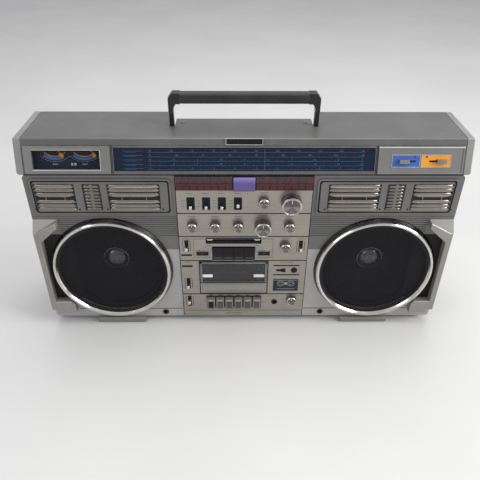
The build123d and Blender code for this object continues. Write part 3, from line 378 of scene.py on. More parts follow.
def lens_material():
    """Milky violet lens, with a painted highlight that lightens it towards its upper edge."""
    n = Nodes("violet_lens")
    split = n.add("ShaderNodeSeparateXYZ")
    n.link(n.place, split.inputs["Vector"])
    height = n.span(split.outputs["Z"], 0.0, 1.0, STRIP_LOW[2] * MM, STRIP_HIGH[2] * MM)
    # Painted highlight: lighter towards the top edge, where light from above catches the lens.
    n.colour(n.ramp(height, [(0.55, (0.095, 0.070, 0.235)), (0.85, (0.20, 0.165, 0.42))]))
    n.rough(n.span(n.noise(60.0), 0.18, 0.30))
    n.set(IOR=1.49)
    return n.material


def floor_material():
    """Matt pale floor with a hint of unevenness."""
    n = Nodes("pale_floor")
    cloud = n.noise(2.5, 4.0)
    n.colour(n.ramp(cloud, [(0.3, (0.50, 0.495, 0.487)), (0.7, (0.54, 0.535, 0.525))]))
    n.rough(n.span(n.noise(9.0), 0.5, 0.62))
    return n.material


# ---- Mesh helpers ----
def finish_mesh(name, bm, material, body="cabinet", slot=None, bevel=0.0, segments=2, smooth=0.0,
                replaces=()):
    """Writes a bmesh (in millimetres) as one piece that rides on a body."""
    bmesh.ops.remove_doubles(bm, verts=bm.verts, dist=1e-5)
    bmesh.ops.recalc_face_normals(bm, faces=bm.faces)
    bmesh.ops.scale(bm, vec=(MM, MM, MM), verts=bm.verts)
    mesh = bpy.data.meshes.new(name)
    bm.to_mesh(mesh)
    bm.free()
    mesh.materials.append(M[material])
    piece = bpy.data.objects.new(name, mesh)
    bpy.context.scene.collection.objects.link(piece)
    if smooth:
        mesh.shade_smooth()
        mesh.set_sharp_from_angle(angle=radians(smooth))
    if bevel:
        modifier = piece.modifiers.new("bevel", "BEVEL")
        modifier.width = bevel * MM
        modifier.segments = segments
        modifier.limit_method = "ANGLE"
        modifier.angle_limit = radians(35)
        modifier.harden_normals = True
        mesh.shade_smooth()
    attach(piece, body)
    if replaces:
        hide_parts(*replaces)
    return piece


def add_box(bm, x, y, z, move=None):
    """A box between pairs of x, y and z."""
    corners = [Vector((a, b, c)) for a in x for b in y for c in z]
    if move:
        corners = [move @ c for c in corners]
    v = [bm.verts.new(c) for c in corners]
    for ids in ((0, 1, 3, 2), (4, 6, 7, 5), (0, 4, 5, 1), (2, 3, 7, 6), (0, 2, 6, 4), (1, 5, 7, 3)):
        bm.faces.new([v[i] for i in ids])


def add_prism(bm, outline, near, far, place):
    """A prism: the outline at two depths, each point placed by place(a, b, depth)."""
    first = [bm.verts.new(place(a, b, near)) for a, b in outline]
    second = [bm.verts.new(place(a, b, far)) for a, b in outline]
    bm.faces.new(first)
    bm.faces.new(list(reversed(second)))
    count = len(outline)
    for i in range(count):
        j = (i + 1) % count
        bm.faces.new([first[j], first[i], second[i], second[j]])


def front_place(a, b, depth):
    """A point of the front: x, z, and a distance behind the baffle."""
    return Vector((a, BAFFLE + depth, b))


def rounded_outline(x, z, radius, steps=6):
    """A rectangle with rounded corners."""
    points = []
    for cx, cz, start in ((x[1], z[1], 0), (x[0], z[1], 90), (x[0], z[0], 180), (x[1], z[0], 270)):
        sx = cx - radius if start in (0, 270) else cx + radius
        sz = cz - radius if start in (0, 90) else cz + radius
        for i in range(steps + 1):
            angle = radians(start + 90 * i / steps)
            points.append((sx + radius * cos(angle), sz + radius * sin(angle)))
    return points


def add_lathe(bm, profile, place, count=64, ripple=None):
    """A round solid from (radius, height) points; place(a, b, height) sets each point."""
    rings = []
    for index, (radius, height) in enumerate(profile):
        if radius == 0:
            rings.append([bm.verts.new(place(0, 0, height))])
            continue
        ring = []
        for i in range(count):
            angle = 2 * pi * i / count
            r = radius + (ripple(index, i) if ripple else 0)
            ring.append(bm.verts.new(place(r * cos(angle), r * sin(angle), height)))
        rings.append(ring)
    for low, high in zip(rings, rings[1:]):
        for i in range(count):
            j = (i + 1) % count
            if len(low) == 1 and len(high) == 1:
                continue
            if len(low) == 1:
                bm.faces.new([low[0], high[i], high[j]])
            elif len(high) == 1:
                bm.faces.new([low[i], high[0], low[j]])
            else:
                bm.faces.new([low[i], high[i], high[j], low[j]])


def about(x, z):
    """Place function for round things on the front: height is the distance behind the baffle."""
    return lambda a, b, height: Vector((x + a, BAFFLE + height, z + b))


def lathe(name, profile, place, count, material, body="cabinet", ripple=None, **more):
    """One round piece."""
    bm = bmesh.new()
    add_lathe(bm, profile, place, count, ripple)
    return finish_mesh(name, bm, material, body, **more)


def prism(name, outline, near, far, place, material, body="cabinet", **more):
    """One prism as a piece."""
    bm = bmesh.new()
    add_prism(bm, outline, near, far, place)
    return finish_mesh(name, bm, material, body, **more)


# The sloping band: u along X, v up the slope, w out of it.
BAND_OVERHANG = 3.5
BAND_SETBACK = 17.0
BAND_LIFT = 4.5
BAND_LOW = BODY_TOP + BAND_LIFT
BAND_TILT = atan2(BAND_SETBACK, ROOF - BAND_LOW)


def band(u, v, w):
    """A point on the sloping band."""
    y = BAFFLE - BAND_OVERHANG + v * sin(BAND_TILT) - w * cos(BAND_TILT)
    z = BAND_LOW + v * cos(BAND_TILT) + w * sin(BAND_TILT)
    return Vector((u, y, z))


def add_band_box(bm, u, v, w):
    """A box laid on the sloping band."""
    outline = [(u[0], v[0]), (u[1], v[0]), (u[1], v[1]), (u[0], v[1])]
    add_prism(bm, outline, w[0], w[1], band)


def boxes(name, spans, material, body="cabinet", bevel=0.0, **more):
    """One piece made of boxes in (x, depth behind the baffle, z)."""
    bm = bmesh.new()
    for x, depth, z in spans:
        add_box(bm, x, (BAFFLE + depth[0], BAFFLE + depth[1]), z)
    return finish_mesh(name, bm, material, body, bevel=bevel, **more)


def band_boxes(name, spans, material, body="cabinet", bevel=0.0, **more):
    """One piece made of boxes in (u, v, w)."""
    bm = bmesh.new()
    for u, v, w in spans:
        add_band_box(bm, u, v, w)
    return finish_mesh(name, bm, material, body, bevel=bevel, **more)


def frame_boxes(x, z, depth, width):
    """Four boxes that make a rectangular frame."""
    return [
        ((x[0], x[1]), depth, (z[0], z[0] + width)),
        ((x[0], x[1]), depth, (z[1] - width, z[1])),
        ((x[0], x[0] + width), depth, (z[0] + width, z[1] - width)),
        ((x[1] - width, x[1]), depth, (z[0] + width, z[1] - width)),
    ]


def repaint(materials):
    """Gives carried-over nodes their finishes."""
    for node, material in materials.items():
        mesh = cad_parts[node].data
        mesh.materials.clear()
        mesh.materials.append(M[material])


# ---- Casing ----
def dress_casing():
    """Finishes of the nodes that keep their CAD shape."""
    repaint({
        "rear_cabinet": "shell", "front_baffle": "baffle", "top_housing": "casing", "end_caps": "cap",
        "speaker_guards": "guard", "feet": "foot", "speaker_rings": "ring", "speaker_drivers": "rubber",
        "control_fascia": "champagne", "dial_back_plate": "dial_plate",
        "circuit_board": "board", "power_transformer": "iron", "tape_transports": "deck_dark",
        "jack_sockets": "black", "screws": "steel", "handle_frame": "handle", "handle_grip": "grip",
        "cassette_door": "champagne", "cassette_window": "smoked", "dial_pointer": "pointer",
        "meter_needle_left": "orange", "meter_needle_right": "orange", "battery_door": "shell",
        "antenna_mast_left": "rod", "antenna_mast_right": "rod", "antenna_rod_left": "rod",
        "antenna_rod_right": "rod", "input_switch": "slider", "output_switch": "slider",
    })
    repaint({node: "key" for node in DECK_KEYS})
    repaint({node: "key_black" for node in PLAYER_KEYS})


DECK_KEYS = ("record_key", "play_key", "rewind_key", "forward_key", "stop_key", "pause_key")
PLAYER_KEYS = ("player_eject_key", "player_rewind_key", "player_forward_key", "player_play_key")
SIDES = {"left": -1, "right": 1}


def mirrored(span, sign):
    """A span of x on the chosen side."""
    return tuple(sorted((sign * span[0], sign * span[1])))


def mirrored_about(centre, span, sign):
    """A span of x to the chosen side of a centre."""
    return tuple(sorted((centre + sign * span[0], centre + sign * span[1])))


def front_trim():
    """Seams, painted shade in the pockets behind the guards, and the painted shadow lines beside the control
    panel.
    """
    half = FASCIA_HIGH[0]
    seam_z = (31.2, 32.5)
    spans = []
    for sign in (-1, 1):
        spans.append((mirrored((half + 3.0, 222.0), sign), (-0.25, 0.1), seam_z))
        spans.append((mirrored((282.0, 333.0), sign), (-0.25, 0.1), seam_z))
        # Painted shadow: thin dark strips along both sides of the control panel.
        spans.append((mirrored((half, half + 1.5), sign), (-0.4, 0.1), (FASCIA_LOW[2], STRIP_HIGH[2])))
        # Painted shade: dark panels in the pockets behind the guards.
        spans.append((mirrored((318.0, 372.6), sign), (-0.5, 0.1), (62.0, 214.0)))
    boxes("front_seams_and_painted_shadows", spans, "print_black", slot="deck_black")


SOCKET_COUNT = 4
SOCKET_MARGIN = 60.0
SOCKET_PITCH = 22.0
SOCKET_DROP = 45.0


def rear_trim():
    """Blank rating plate and washers round the line sockets."""
    back = edges("rear_cabinet")[1][1] - BAFFLE
    boxes("rear_blank_plate", [((-205.0, -125.0), (back, back + 0.4), (262.0, 302.0))], "steel",
          bevel=0.3, slot="screw_steel")
    bm = bmesh.new()
    for i in range(SOCKET_COUNT):
        x = edges("rear_cabinet")[1][0] - SOCKET_MARGIN - SOCKET_PITCH * i
        ring = [(6.2, back), (8.4, back), (8.2, back + 0.5), (6.4, back + 0.6)]
        add_lathe(bm, ring + ring[:1], about(x, BODY_TOP - SOCKET_DROP), 32)
    finish_mesh("line_socket_washers", bm, "steel", slot="screw_steel", smooth=40)


# ---- Loudspeakers ----
def perforated_sheet(name, cx, cz, radius, depth, pitch=3.5, web=0.80):
    """A round sheet with a honeycomb of holes."""
    bm = bmesh.new()
    corner = pitch / 3 ** 0.5
    turn = [(cos(radians(30 + 60 * k)), sin(radians(30 + 60 * k))) for k in range(6)]
    shared = {}
    rows = int(radius / (pitch * 0.866)) + 1
    for j in range(-rows, rows + 1):
        shift = pitch / 2 if j % 2 else 0.0
        for i in range(-rows - 2, rows + 3):
            x, z = i * pitch + shift, j * pitch * 0.866
            if hypot(x, z) > radius - pitch * 0.7:
                continue
            outer = []
            inner = []
            for a, b in turn:
                px, pz = x + corner * a, z + corner * b
                key = (round(px * 50), round(pz * 50))
                if key not in shared:
                    shared[key] = bm.verts.new((cx + px, BAFFLE + depth, cz + pz))
                outer.append(shared[key])
                inner.append(bm.verts.new((cx + x + corner * a * web, BAFFLE + depth,
                                           cz + z + corner * b * web)))
            for k in range(6):
                m = (k + 1) % 6
                bm.faces.new([outer[k], outer[m], inner[m], inner[k]])
    piece = finish_mesh(name, bm, "mesh", slot="grille_mesh")
    solid = piece.modifiers.new("thickness", "SOLIDIFY")
    solid.thickness = 0.5 * MM
    solid.offset = 0.0
    return piece


def loudspeakers():
    """Meshes, cones and dust caps."""
    low, high = edges("speaker_grilles")
    radius = (high[2] - low[2]) / 2
    cz = (high[2] + low[2]) / 2
    depth = (low[1] + high[1]) / 2 - BAFFLE
    for side, sign in SIDES.items():
        cx = sign * (high[0] - radius)
        perforated_sheet(f"speaker_mesh_{side}", cx, cz, radius, depth)
        place = about(cx, cz)
        rim = [(radius - 4.5, depth - 0.6), (radius - 0.1, depth - 1.4), (radius - 0.1, depth + 0.9),
               (radius - 4.0, depth + 0.7), (radius - 4.5, depth - 0.6)]
        lathe(f"speaker_mesh_rim_{side}", rim, place, 96, "rubber", slot="grille_mesh", smooth=30)
        edge_radius = edges("speaker_rings")[1][0] - sign * cx
        # Painted reflection and shadow: a dark chrome skin over the outer flank of each ring, reaching just
        # past its base as a painted shadow line.
        flank = [(edge_radius + 0.9, 0.0), (edge_radius + 0.9, -0.6), (edge_radius + 0.25, -2.6),
                 (edge_radius - 1.8, -6.2), (edge_radius - 2.6, -8.6), (edge_radius - 2.8, -8.4),
                 (edge_radius - 2.1, -6.0), (edge_radius + 0.05, -2.5), (edge_radius + 0.05, 0.0),
                 (edge_radius + 0.9, 0.0)]
        lathe(f"speaker_ring_flank_{side}", flank, place, 96, "ring_painted_dark_reflection", slot="ring_chrome", smooth=30)
        steps = 26
        profile = []
        for i in range(steps + 1):
            t = i / steps
            profile.append((90.0 - 64.0 * t, 10.2 + 26.5 * t ** 1.25 + 0.5 * sin(t * 46.0) - 1.4))
        profile += [(25.0, 38.0), (90.0, 12.0), profile[0]]
        lathe(f"speaker_cone_{side}", profile, place, 72, "cone", slot="driver", smooth=50)
        roll = [(95.5 + 5.5 * cos(radians(a)), 7.0 - 5.0 * sin(radians(a))) for a in range(0, 181, 15)]
        lathe(f"speaker_surround_{side}", roll + [roll[0]], place, 72, "rubber", slot="driver", smooth=50)
        dome = [(26.0, 36.4), (25.4, 34.6), (23.8, 34.2)]
        dome += [(23.0 * sin(radians(a)), 37.0 - 14.0 * cos(radians(a)) + 4.0) for a in range(75, 0, -15)]
        dome += [(0.0, 27.0), (0.0, 38.0), (26.0, 38.0), (26.0, 36.4)]
        lathe(f"dust_cap_{side}", dome, place, 48, "dust_cap", slot="driver", smooth=50)
    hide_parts("speaker_grilles")


# ---- Horn panels ----
BLADES = (
    (45.4, 51.8, (0.0, 0.4)),
    (38.4, 44.2, (0.0, 0.0)),
    (28.4, 35.8, (2.6, 0.8)),
    (15.4, 21.6, (0.0, 1.8)),
    (7.4, 12.9, (0.0, 0.8)),
    (0.2, 6.4, (0.0, 0.0)),
)


def add_blade(bm, x, z, reach, end, lift=(0.0, 0.0), sections=20):
    """A louvre blade whose ends sweep back into the panel, with a step along its face."""
    columns = []
    for i in range(sections + 1):
        at = x[0] + (x[1] - x[0]) * i / sections
        inset = min(at - x[0], x[1] - at)
        e = max(0.0, 1.0 - inset / end) ** 2
        front = -reach * (1.0 - 0.62 * e)
        low, high = z[0] + lift[0] * e, z[1] - lift[1] * e
        rise = high - low
        points = [(-0.2, low), (front + 0.6, low), (front, low + 0.5), (front - 0.3, low + rise * 0.42),
                  (front + 0.7, low + rise * 0.52), (front + 0.9, high - 0.9), (front + 1.7, high),
                  (-0.2, high)]
        columns.append([bm.verts.new((at, BAFFLE + d, h)) for d, h in points])
    bm.faces.new(columns[0])
    bm.faces.new(list(reversed(columns[-1])))
    count = len(columns[0])
    for first, second in zip(columns, columns[1:]):
        for k in range(count):
            m = (k + 1) % count
            bm.faces.new([first[m], first[k], second[k], second[m]])


def add_ring(bm, x, z, radius, width, depth):
    """A flat frame with rounded corners."""
    outer = rounded_outline(x, z, radius)
    inner = rounded_outline((x[0] + width, x[1] - width), (z[0] + width, z[1] - width),
                            max(radius - width, 0.5))
    loops = []
    for outline, d in ((outer, depth[0]), (inner, depth[0]), (inner, depth[1]), (outer, depth[1])):
        loops.append([bm.verts.new(front_place(a, b, d)) for a, b in outline])
    count = len(outer)
    for first, second in zip(loops, loops[1:] + loops[:1]):
        for i in range(count):
            j = (i + 1) % count
            bm.faces.new([first[i], first[j], second[j], second[i]])


def horn_panels():
    """Louvred horn panels above the loudspeakers."""
    low, high = edges("horn_panels")
    panel_z = (low[2], high[2])
    outer, inner = high[0], FASCIA_HIGH[0] + 8.0
    near = inner + 20.0
    width = high[0] - 7.0 - near
    block_z = ((panel_z[0] + panel_z[1]) / 2 - 26.0, (panel_z[0] + panel_z[1]) / 2 + 26.0)
    near_block = (near, near + 0.417 * width)
    vent = (near + 0.472 * width, near + 0.612 * width)
    far_block = (near + 0.677 * width, near + width)
    for side, sign in SIDES.items():
        x = mirrored((inner, outer), sign)
        prism(f"horn_base_{side}", rounded_outline(x, panel_z, 8.0), -0.9, 0.0, front_place, "print_black",
              slot="deck_black")
        bm = bmesh.new()
        add_ring(bm, x, panel_z, 8.0, 3.4, (-2.4, -0.4))
        finish_mesh(f"horn_border_{side}", bm, "horn_plate", slot="casing", bevel=0.7)
        face_x = (x[0] + 6.0, x[1] - 6.0)
        face_z = (panel_z[0] + 6.0, panel_z[1] - 6.0)
        prism(f"horn_plate_{side}", rounded_outline(face_x, face_z, 5.0), -2.5, -0.5,
                            front_place, "horn_plate", slot="casing", bevel=0.5)
        backs, blades, posts = [], bmesh.new(), []
        for block in (near_block, far_block):
            bx = mirrored(block, sign)
            backs.append((bx, (-3.0, -1.0), block_z))
            base = block_z[0]
            for low_z, high_z, lift in BLADES:
                add_blade(blades, bx, (base + low_z, base + high_z), 6.2, 15.0, lift)
            span = bx[1] - bx[0]
            for share in (0.27, 0.74):
                at = bx[0] + span * share
                posts.append(((at - 0.7, at + 0.7), (-4.6, -2.8), (base + 21.0, base + 29.4)))
        vx = mirrored(vent, sign)
        backs.append((vx, (-3.0, -1.0), block_z))
        for i in range(8):
            z = block_z[0] + 0.8 + i * 6.45
            add_blade(blades, vx, (z, z + 3.7), 5.4, 9.0)
        posts.append((((vx[0] + vx[1]) / 2 - 2.2, (vx[0] + vx[1]) / 2 + 2.2), (-4.0, -2.8), block_z))
        boxes(f"horn_throats_{side}", backs, "black", slot="driver")
        finish_mesh(f"horn_louvres_{side}", blades, "louvre", "cabinet", slot="horn_metal", smooth=28)
        boxes(f"horn_posts_{side}", posts, "louvre", slot="horn_metal", bevel=0.2)
        bm = bmesh.new()
        for block in (near_block, far_block):
            for end, out in ((block[0], -3.6), (block[1], 3.6)):
                hole = [(0.0, -2.62), (1.7, -2.62), (1.7, -2.4), (0.0, -2.4)]
                add_lathe(bm, hole, about(sign * (end + out), block_z[0] + 1.6), 20)
        finish_mesh(f"horn_screw_holes_{side}", bm, "gloss_black", slot="screw_steel", smooth=30)
    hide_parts("horn_panels")


# ---- Station strip ----
def station_strip():
    """Two rows of windows with dividers, and the raised violet lens."""
    x, z = (STRIP_LOW[0], STRIP_HIGH[0]), (STRIP_LOW[2] + 1.0, STRIP_HIGH[2])
    lens_half = 19.0
    mid = z[0] + 0.50 * (z[1] - z[0])
    back = boxes("strip_back", [(x, (-1.2, 0.0), z)], "gloss_black", slot="display_red")
    pitch = (x[1] - lens_half - 1.0) / 8
    upper, lower, bars = [], [], []
    for sign in (-1, 1):
        for i in range(8):
            outer = x[1] - i * pitch
            span = mirrored((outer - pitch + 0.5, outer - 0.5), sign)
            upper.append((span, (-2.6, -1.0), (mid + 0.5, z[1] - 1.2)))
            lower.append((span, (-3.1, -1.0), (z[0] + 0.3, mid)))
            bars.append((mirrored((outer - 0.5, outer + 0.25), sign), (-3.5, -1.0), (mid - 5.0, z[1] - 0.6)))
    boxes("strip_windows_upper", upper, "red_upper", bevel=0.3, slot="display_red")
    boxes("strip_windows_lower", lower, "red_lower", bevel=0.4, slot="display_red")
    boxes("strip_dividers", bars, "red_bar", bevel=0.2, slot="display_red")
    lens_z = (STRIP_LOW[2], z[1] - 2.5)
    prism("violet_lens", rounded_outline((-lens_half, lens_half), lens_z, 1.2, 3), -6.0, -1.1, front_place,
          "lens", bevel=1.6, segments=3, slot="display_red")
    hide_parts("display_strip")


# ---- Control panel ----
ROW_LINES = (72.5, 155.5, 211.0, 261.0)


def panel_lines():
    """Dark joints between the rows, tags, tick marks and the small outlined fields."""
    half = FASCIA_HIGH[0]
    depth = (FRONT - BAFFLE - 0.22, FRONT - BAFFLE + 0.1)
    joints = [((-half, half), (depth[0] - 0.1, -0.2), (z - 1.35, z + 0.3)) for z in ROW_LINES]
    joints.append(((-half + 2.0, half - 2.0), depth, (27.8, 28.4)))
    boxes("panel_joints", joints, "print_black", slot="deck_black")
    tags = [((-118.0, -98.0), (depth[0] - 0.4, depth[1]), (z - 1.8, z + 1.8)) for z in (167.8, 141.5)]
    boxes("panel_tags", tags, "gloss_black", bevel=0.25, slot="deck_black")
    marks = []
    for x in (-97.0, -69.3, -40.7, -11.8):
        marks.append(((x - 6.0, x + 6.0), depth, (301.2, 302.2)))
        for i in range(3):
            z = 274.5 + 6.0 * i
            marks.append(((x - 14.5, x - 8.5), depth, (z, z + 0.7)))
    for x, z, width in ((35, 302.5, 16), (83, 305.3, 20), (-94, 254, 13), (-52, 254, 13), (-10, 254, 13),
                        (34, 256.5, 16), (83, 254, 13), (78, 206.3, 18), (107, 205, 12), (-107, 205, 12),
                        (-107, 151, 9), (-107, 69, 9), (97, 70.2, 12), (83, 149, 26), (-19, 20.5, 34)):
        marks.append(((x - width / 2, x + width / 2), depth, (z, z + 0.9)))
    for i in range(6):
        x = -64.4 + 18.3 * i
        marks.append(((x - 5.5, x + 5.5), depth, (33.2, 34.2)))
    for x, z, radius in ((83.5, 284.0, 22.5), (35.0, 285.0, 14.5), (34.5, 234.0, 19.5), (-94.5, 235.0, 14.0),
                         (-52.5, 235.0, 14.0), (-10.5, 235.0, 14.0), (83.0, 235.0, 14.0)):
        for angle in (-60, -30, 210, 240):
            px, pz = x + radius * cos(radians(angle)), z + radius * sin(radians(angle))
            marks.append(((px - 0.5, px + 0.5), depth, (pz - 0.5, pz + 0.5)))
    boxes("panel_print", marks, "print_grey", slot="deck_black")


def lever_sets():
    """Black slide plate and bright lever of each lever."""
    for node in [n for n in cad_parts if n.endswith("_lever")]:
        low, high = edges(node)
        x = (low[0] + high[0]) / 2
        z = (low[2] + high[2]) / 2
        plate = boxes(f"{node}_plate", [((low[0], high[0]), (0.5, 2.0), (low[2], high[2]))], "black",
                      body=node, slot="deck_black")
        tip = low[1] - BAFFLE
        outline = [(0.4, z - 4.5), (0.4, z + 4.5), (tip + 1.0, z + 3.4), (tip, z + 2.2), (tip, z - 2.2),
                   (tip + 1.0, z - 3.4)]
        bm = bmesh.new()
        add_prism(bm, outline, x - 2.5, x + 2.5, lambda d, h, at: Vector((at, BAFFLE + d, h)))
        finish_mesh(f"{node}_stick", bm, "chrome", node, bevel=0.7, slot="lever_metal")
        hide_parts(node)


LEVER_SLOTS = ((-95.0, 281.0), (-67.5, 281.0), (-39.5, 281.0), (-11.0, 281.0),
               (-107.0, 189.0), (107.0, 188.0), (-107.5, 99.0), (-107.5, 53.5))


def lever_frames():
    """Thin dark frames let into the panel round the lever slots."""
    bm = bmesh.new()
    front = FRONT - BAFFLE
    for x, z in LEVER_SLOTS:
        add_ring(bm, (x - 7.3, x + 7.3), (z - 12.8, z + 12.8), 2.0, 1.3, (front - 0.7, front + 0.2))
    finish_mesh("lever_slot_frames", bm, "gloss_black", bevel=0.25, slot="deck_black")
    fills = []
    for x, z in LEVER_SLOTS[4:]:
        for side in (-1, 1):
            fills.append((mirrored_about(x, (3.6, 6.6), side), (front - 0.75, front + 1.0),
                          (z - 12.9, z + 12.9)))
    boxes("lever_slot_fills", fills, "champagne", bevel=0.3, slot="fascia_metal")


def knob_set(node):
    """Knurled skirt, bright chamfered rim and turned face of one knob."""
    low, high = edges(node)
    cx, cz = (low[0] + high[0]) / 2, (low[2] + high[2]) / 2
    radius = (high[0] - low[0]) / 2
    front = low[1] - BAFFLE
    back = FRONT - BAFFLE - 0.6
    place = about(cx, cz)
    skirt = [(radius * 0.80, back), (radius * 0.985, back), (radius, back - 1.0),
             (radius * 0.97, front + 2.0),
             (radius * 0.90, front + 2.0), (radius * 0.80, back)]
    groove = 0.035 * radius / 4

    def knurl(ring, i):
        """Every second point along the skirt lies deeper."""
        return -groove if i % 2 and ring in (1, 2, 3) else 0.0

    first = lathe(f"{node}_skirt", skirt, place, 96, "knob_side", node, knurl, slot="knob_metal")
    rim = [(radius * 0.90, front + 2.1), (radius * 0.975, front + 2.0), (radius * 0.965, front + 1.2),
           (radius * 0.90, front + 0.3), (radius * 0.86, front), (radius * 0.80, front + 0.15),
           (radius * 0.78, front + 0.7), (radius * 0.78, front + 2.1), (radius * 0.90, front + 2.1)]
    lathe(f"{node}_rim", rim, place, 72, "knob_rim", node, slot="knob_metal", smooth=24)
    bm = bmesh.new()
    steps = 8
    face = [(radius * 0.785 * (1 - i / steps),
             front + 0.7 + 0.9 * sin(pi / 2 * i / steps)) for i in range(steps)]
    face += [(0.0, front + 1.6), (0.0, front + 2.0), (radius * 0.785, front + 2.0), face[0]]
    add_lathe(bm, face, lambda a, b, h: Vector((a, h - front, b)), 64)
    piece = finish_mesh(f"{node}_face", bm, "knob_face", node, slot="knob_metal", smooth=30)
    piece.location = Vector((cx, BAFFLE + front, cz)) * MM
    mark = [((cx - 0.55, cx + 0.55), (front + 0.45, front + 1.4), (cz + radius * 0.36, cz + radius * 0.80))]
    boxes(f"{node}_mark", mark, "print_white", body=node, slot="knob_metal", bevel=0.15)
    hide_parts(node)


def slot_player():
    """Raised field and windows of the slot-in player, bright wedges at the top ends of its slot, and the lips
    of its keys.
    """
    front = FRONT - BAFFLE
    field_x, field_z = (-94.4, 54.9), (161.6, 205.6)
    rim = frame_boxes(field_x, field_z, (front - 0.5, front + 0.1), 0.9)[1:]
    rim += [((field_x[0], -60.5), (front - 0.5, front + 0.1), (field_z[0], field_z[0] + 0.9)),
            ((22.5, field_x[1]), (front - 0.5, front + 0.1), (field_z[0], field_z[0] + 0.9))]
    boxes("player_field_frame", rim, "bezel", bevel=0.2, slot="fascia_metal")
    bezels, glass, marks = [], [], []
    for x in ((-90.3, -65.4), (26.6, 50.6)):
        z = (166.6, 177.6)
        bezels += frame_boxes(x, z, (front - 1.5, front + 0.1), 1.1)
        glass.append(((x[0] + 1.0, x[1] - 1.0), (front - 0.8, front + 0.1), (z[0] + 1.0, z[1] - 1.0)))
        centre = (x[0] + x[1]) / 2
        marks.append(((centre - 2.6, centre + 2.6), (front - 0.95, front - 0.7), (171.3, 172.9)))
    boxes("player_window_bezels", bezels, "steel", bevel=0.3, slot="fascia_metal")
    boxes("player_windows", glass, "gloss_black", slot="deck_black")
    boxes("player_window_marks", marks, "red_led", slot="display_red", bevel=0.1)
    slope = [(-66.0, 190.0), (-60.2, 190.0), (-60.2, 178.5), (-85.0, 178.5)]
    bm = bmesh.new()
    for outline in (slope, [(-38.0 - a, b) for a, b in slope]):
        add_prism(bm, outline, front - 1.0, front + 0.1, front_place)
    finish_mesh("player_shoulders", bm, "subplate", bevel=0.4, slot="fascia_metal")
    # Bright wedges at the top ends of the slot, in the chrome finish of the knob rims.
    wedge = [(-70.3, 203.6), (-55.0, 203.6), (-60.0, 199.4), (-67.5, 199.4)]
    bm = bmesh.new()
    for outline in (wedge, [(-38.0 - a, b) for a, b in wedge]):
        add_prism(bm, outline, 0.4, 1.4, front_place)
    finish_mesh("player_slot_bright_wedges", bm, "knob_rim", bevel=0.2, slot="deck_black")
    for node in PLAYER_KEYS:
        low, high = edges(node)
        x = (low[0] + 0.8, high[0] - 0.8)
        tip = low[1] - BAFFLE
        spans = [(x, (tip - 0.35, tip + 1.2), (low[2] + 0.3, low[2] + 1.5)),
                 ((x[0] + 2.0, x[1] - 2.0), (tip - 0.2, tip + 0.4), (low[2] + 6.0, low[2] + 6.6))]
        boxes(f"{node}_lip", spans, "subplate", body=node, bevel=0.25, slot="key_black")


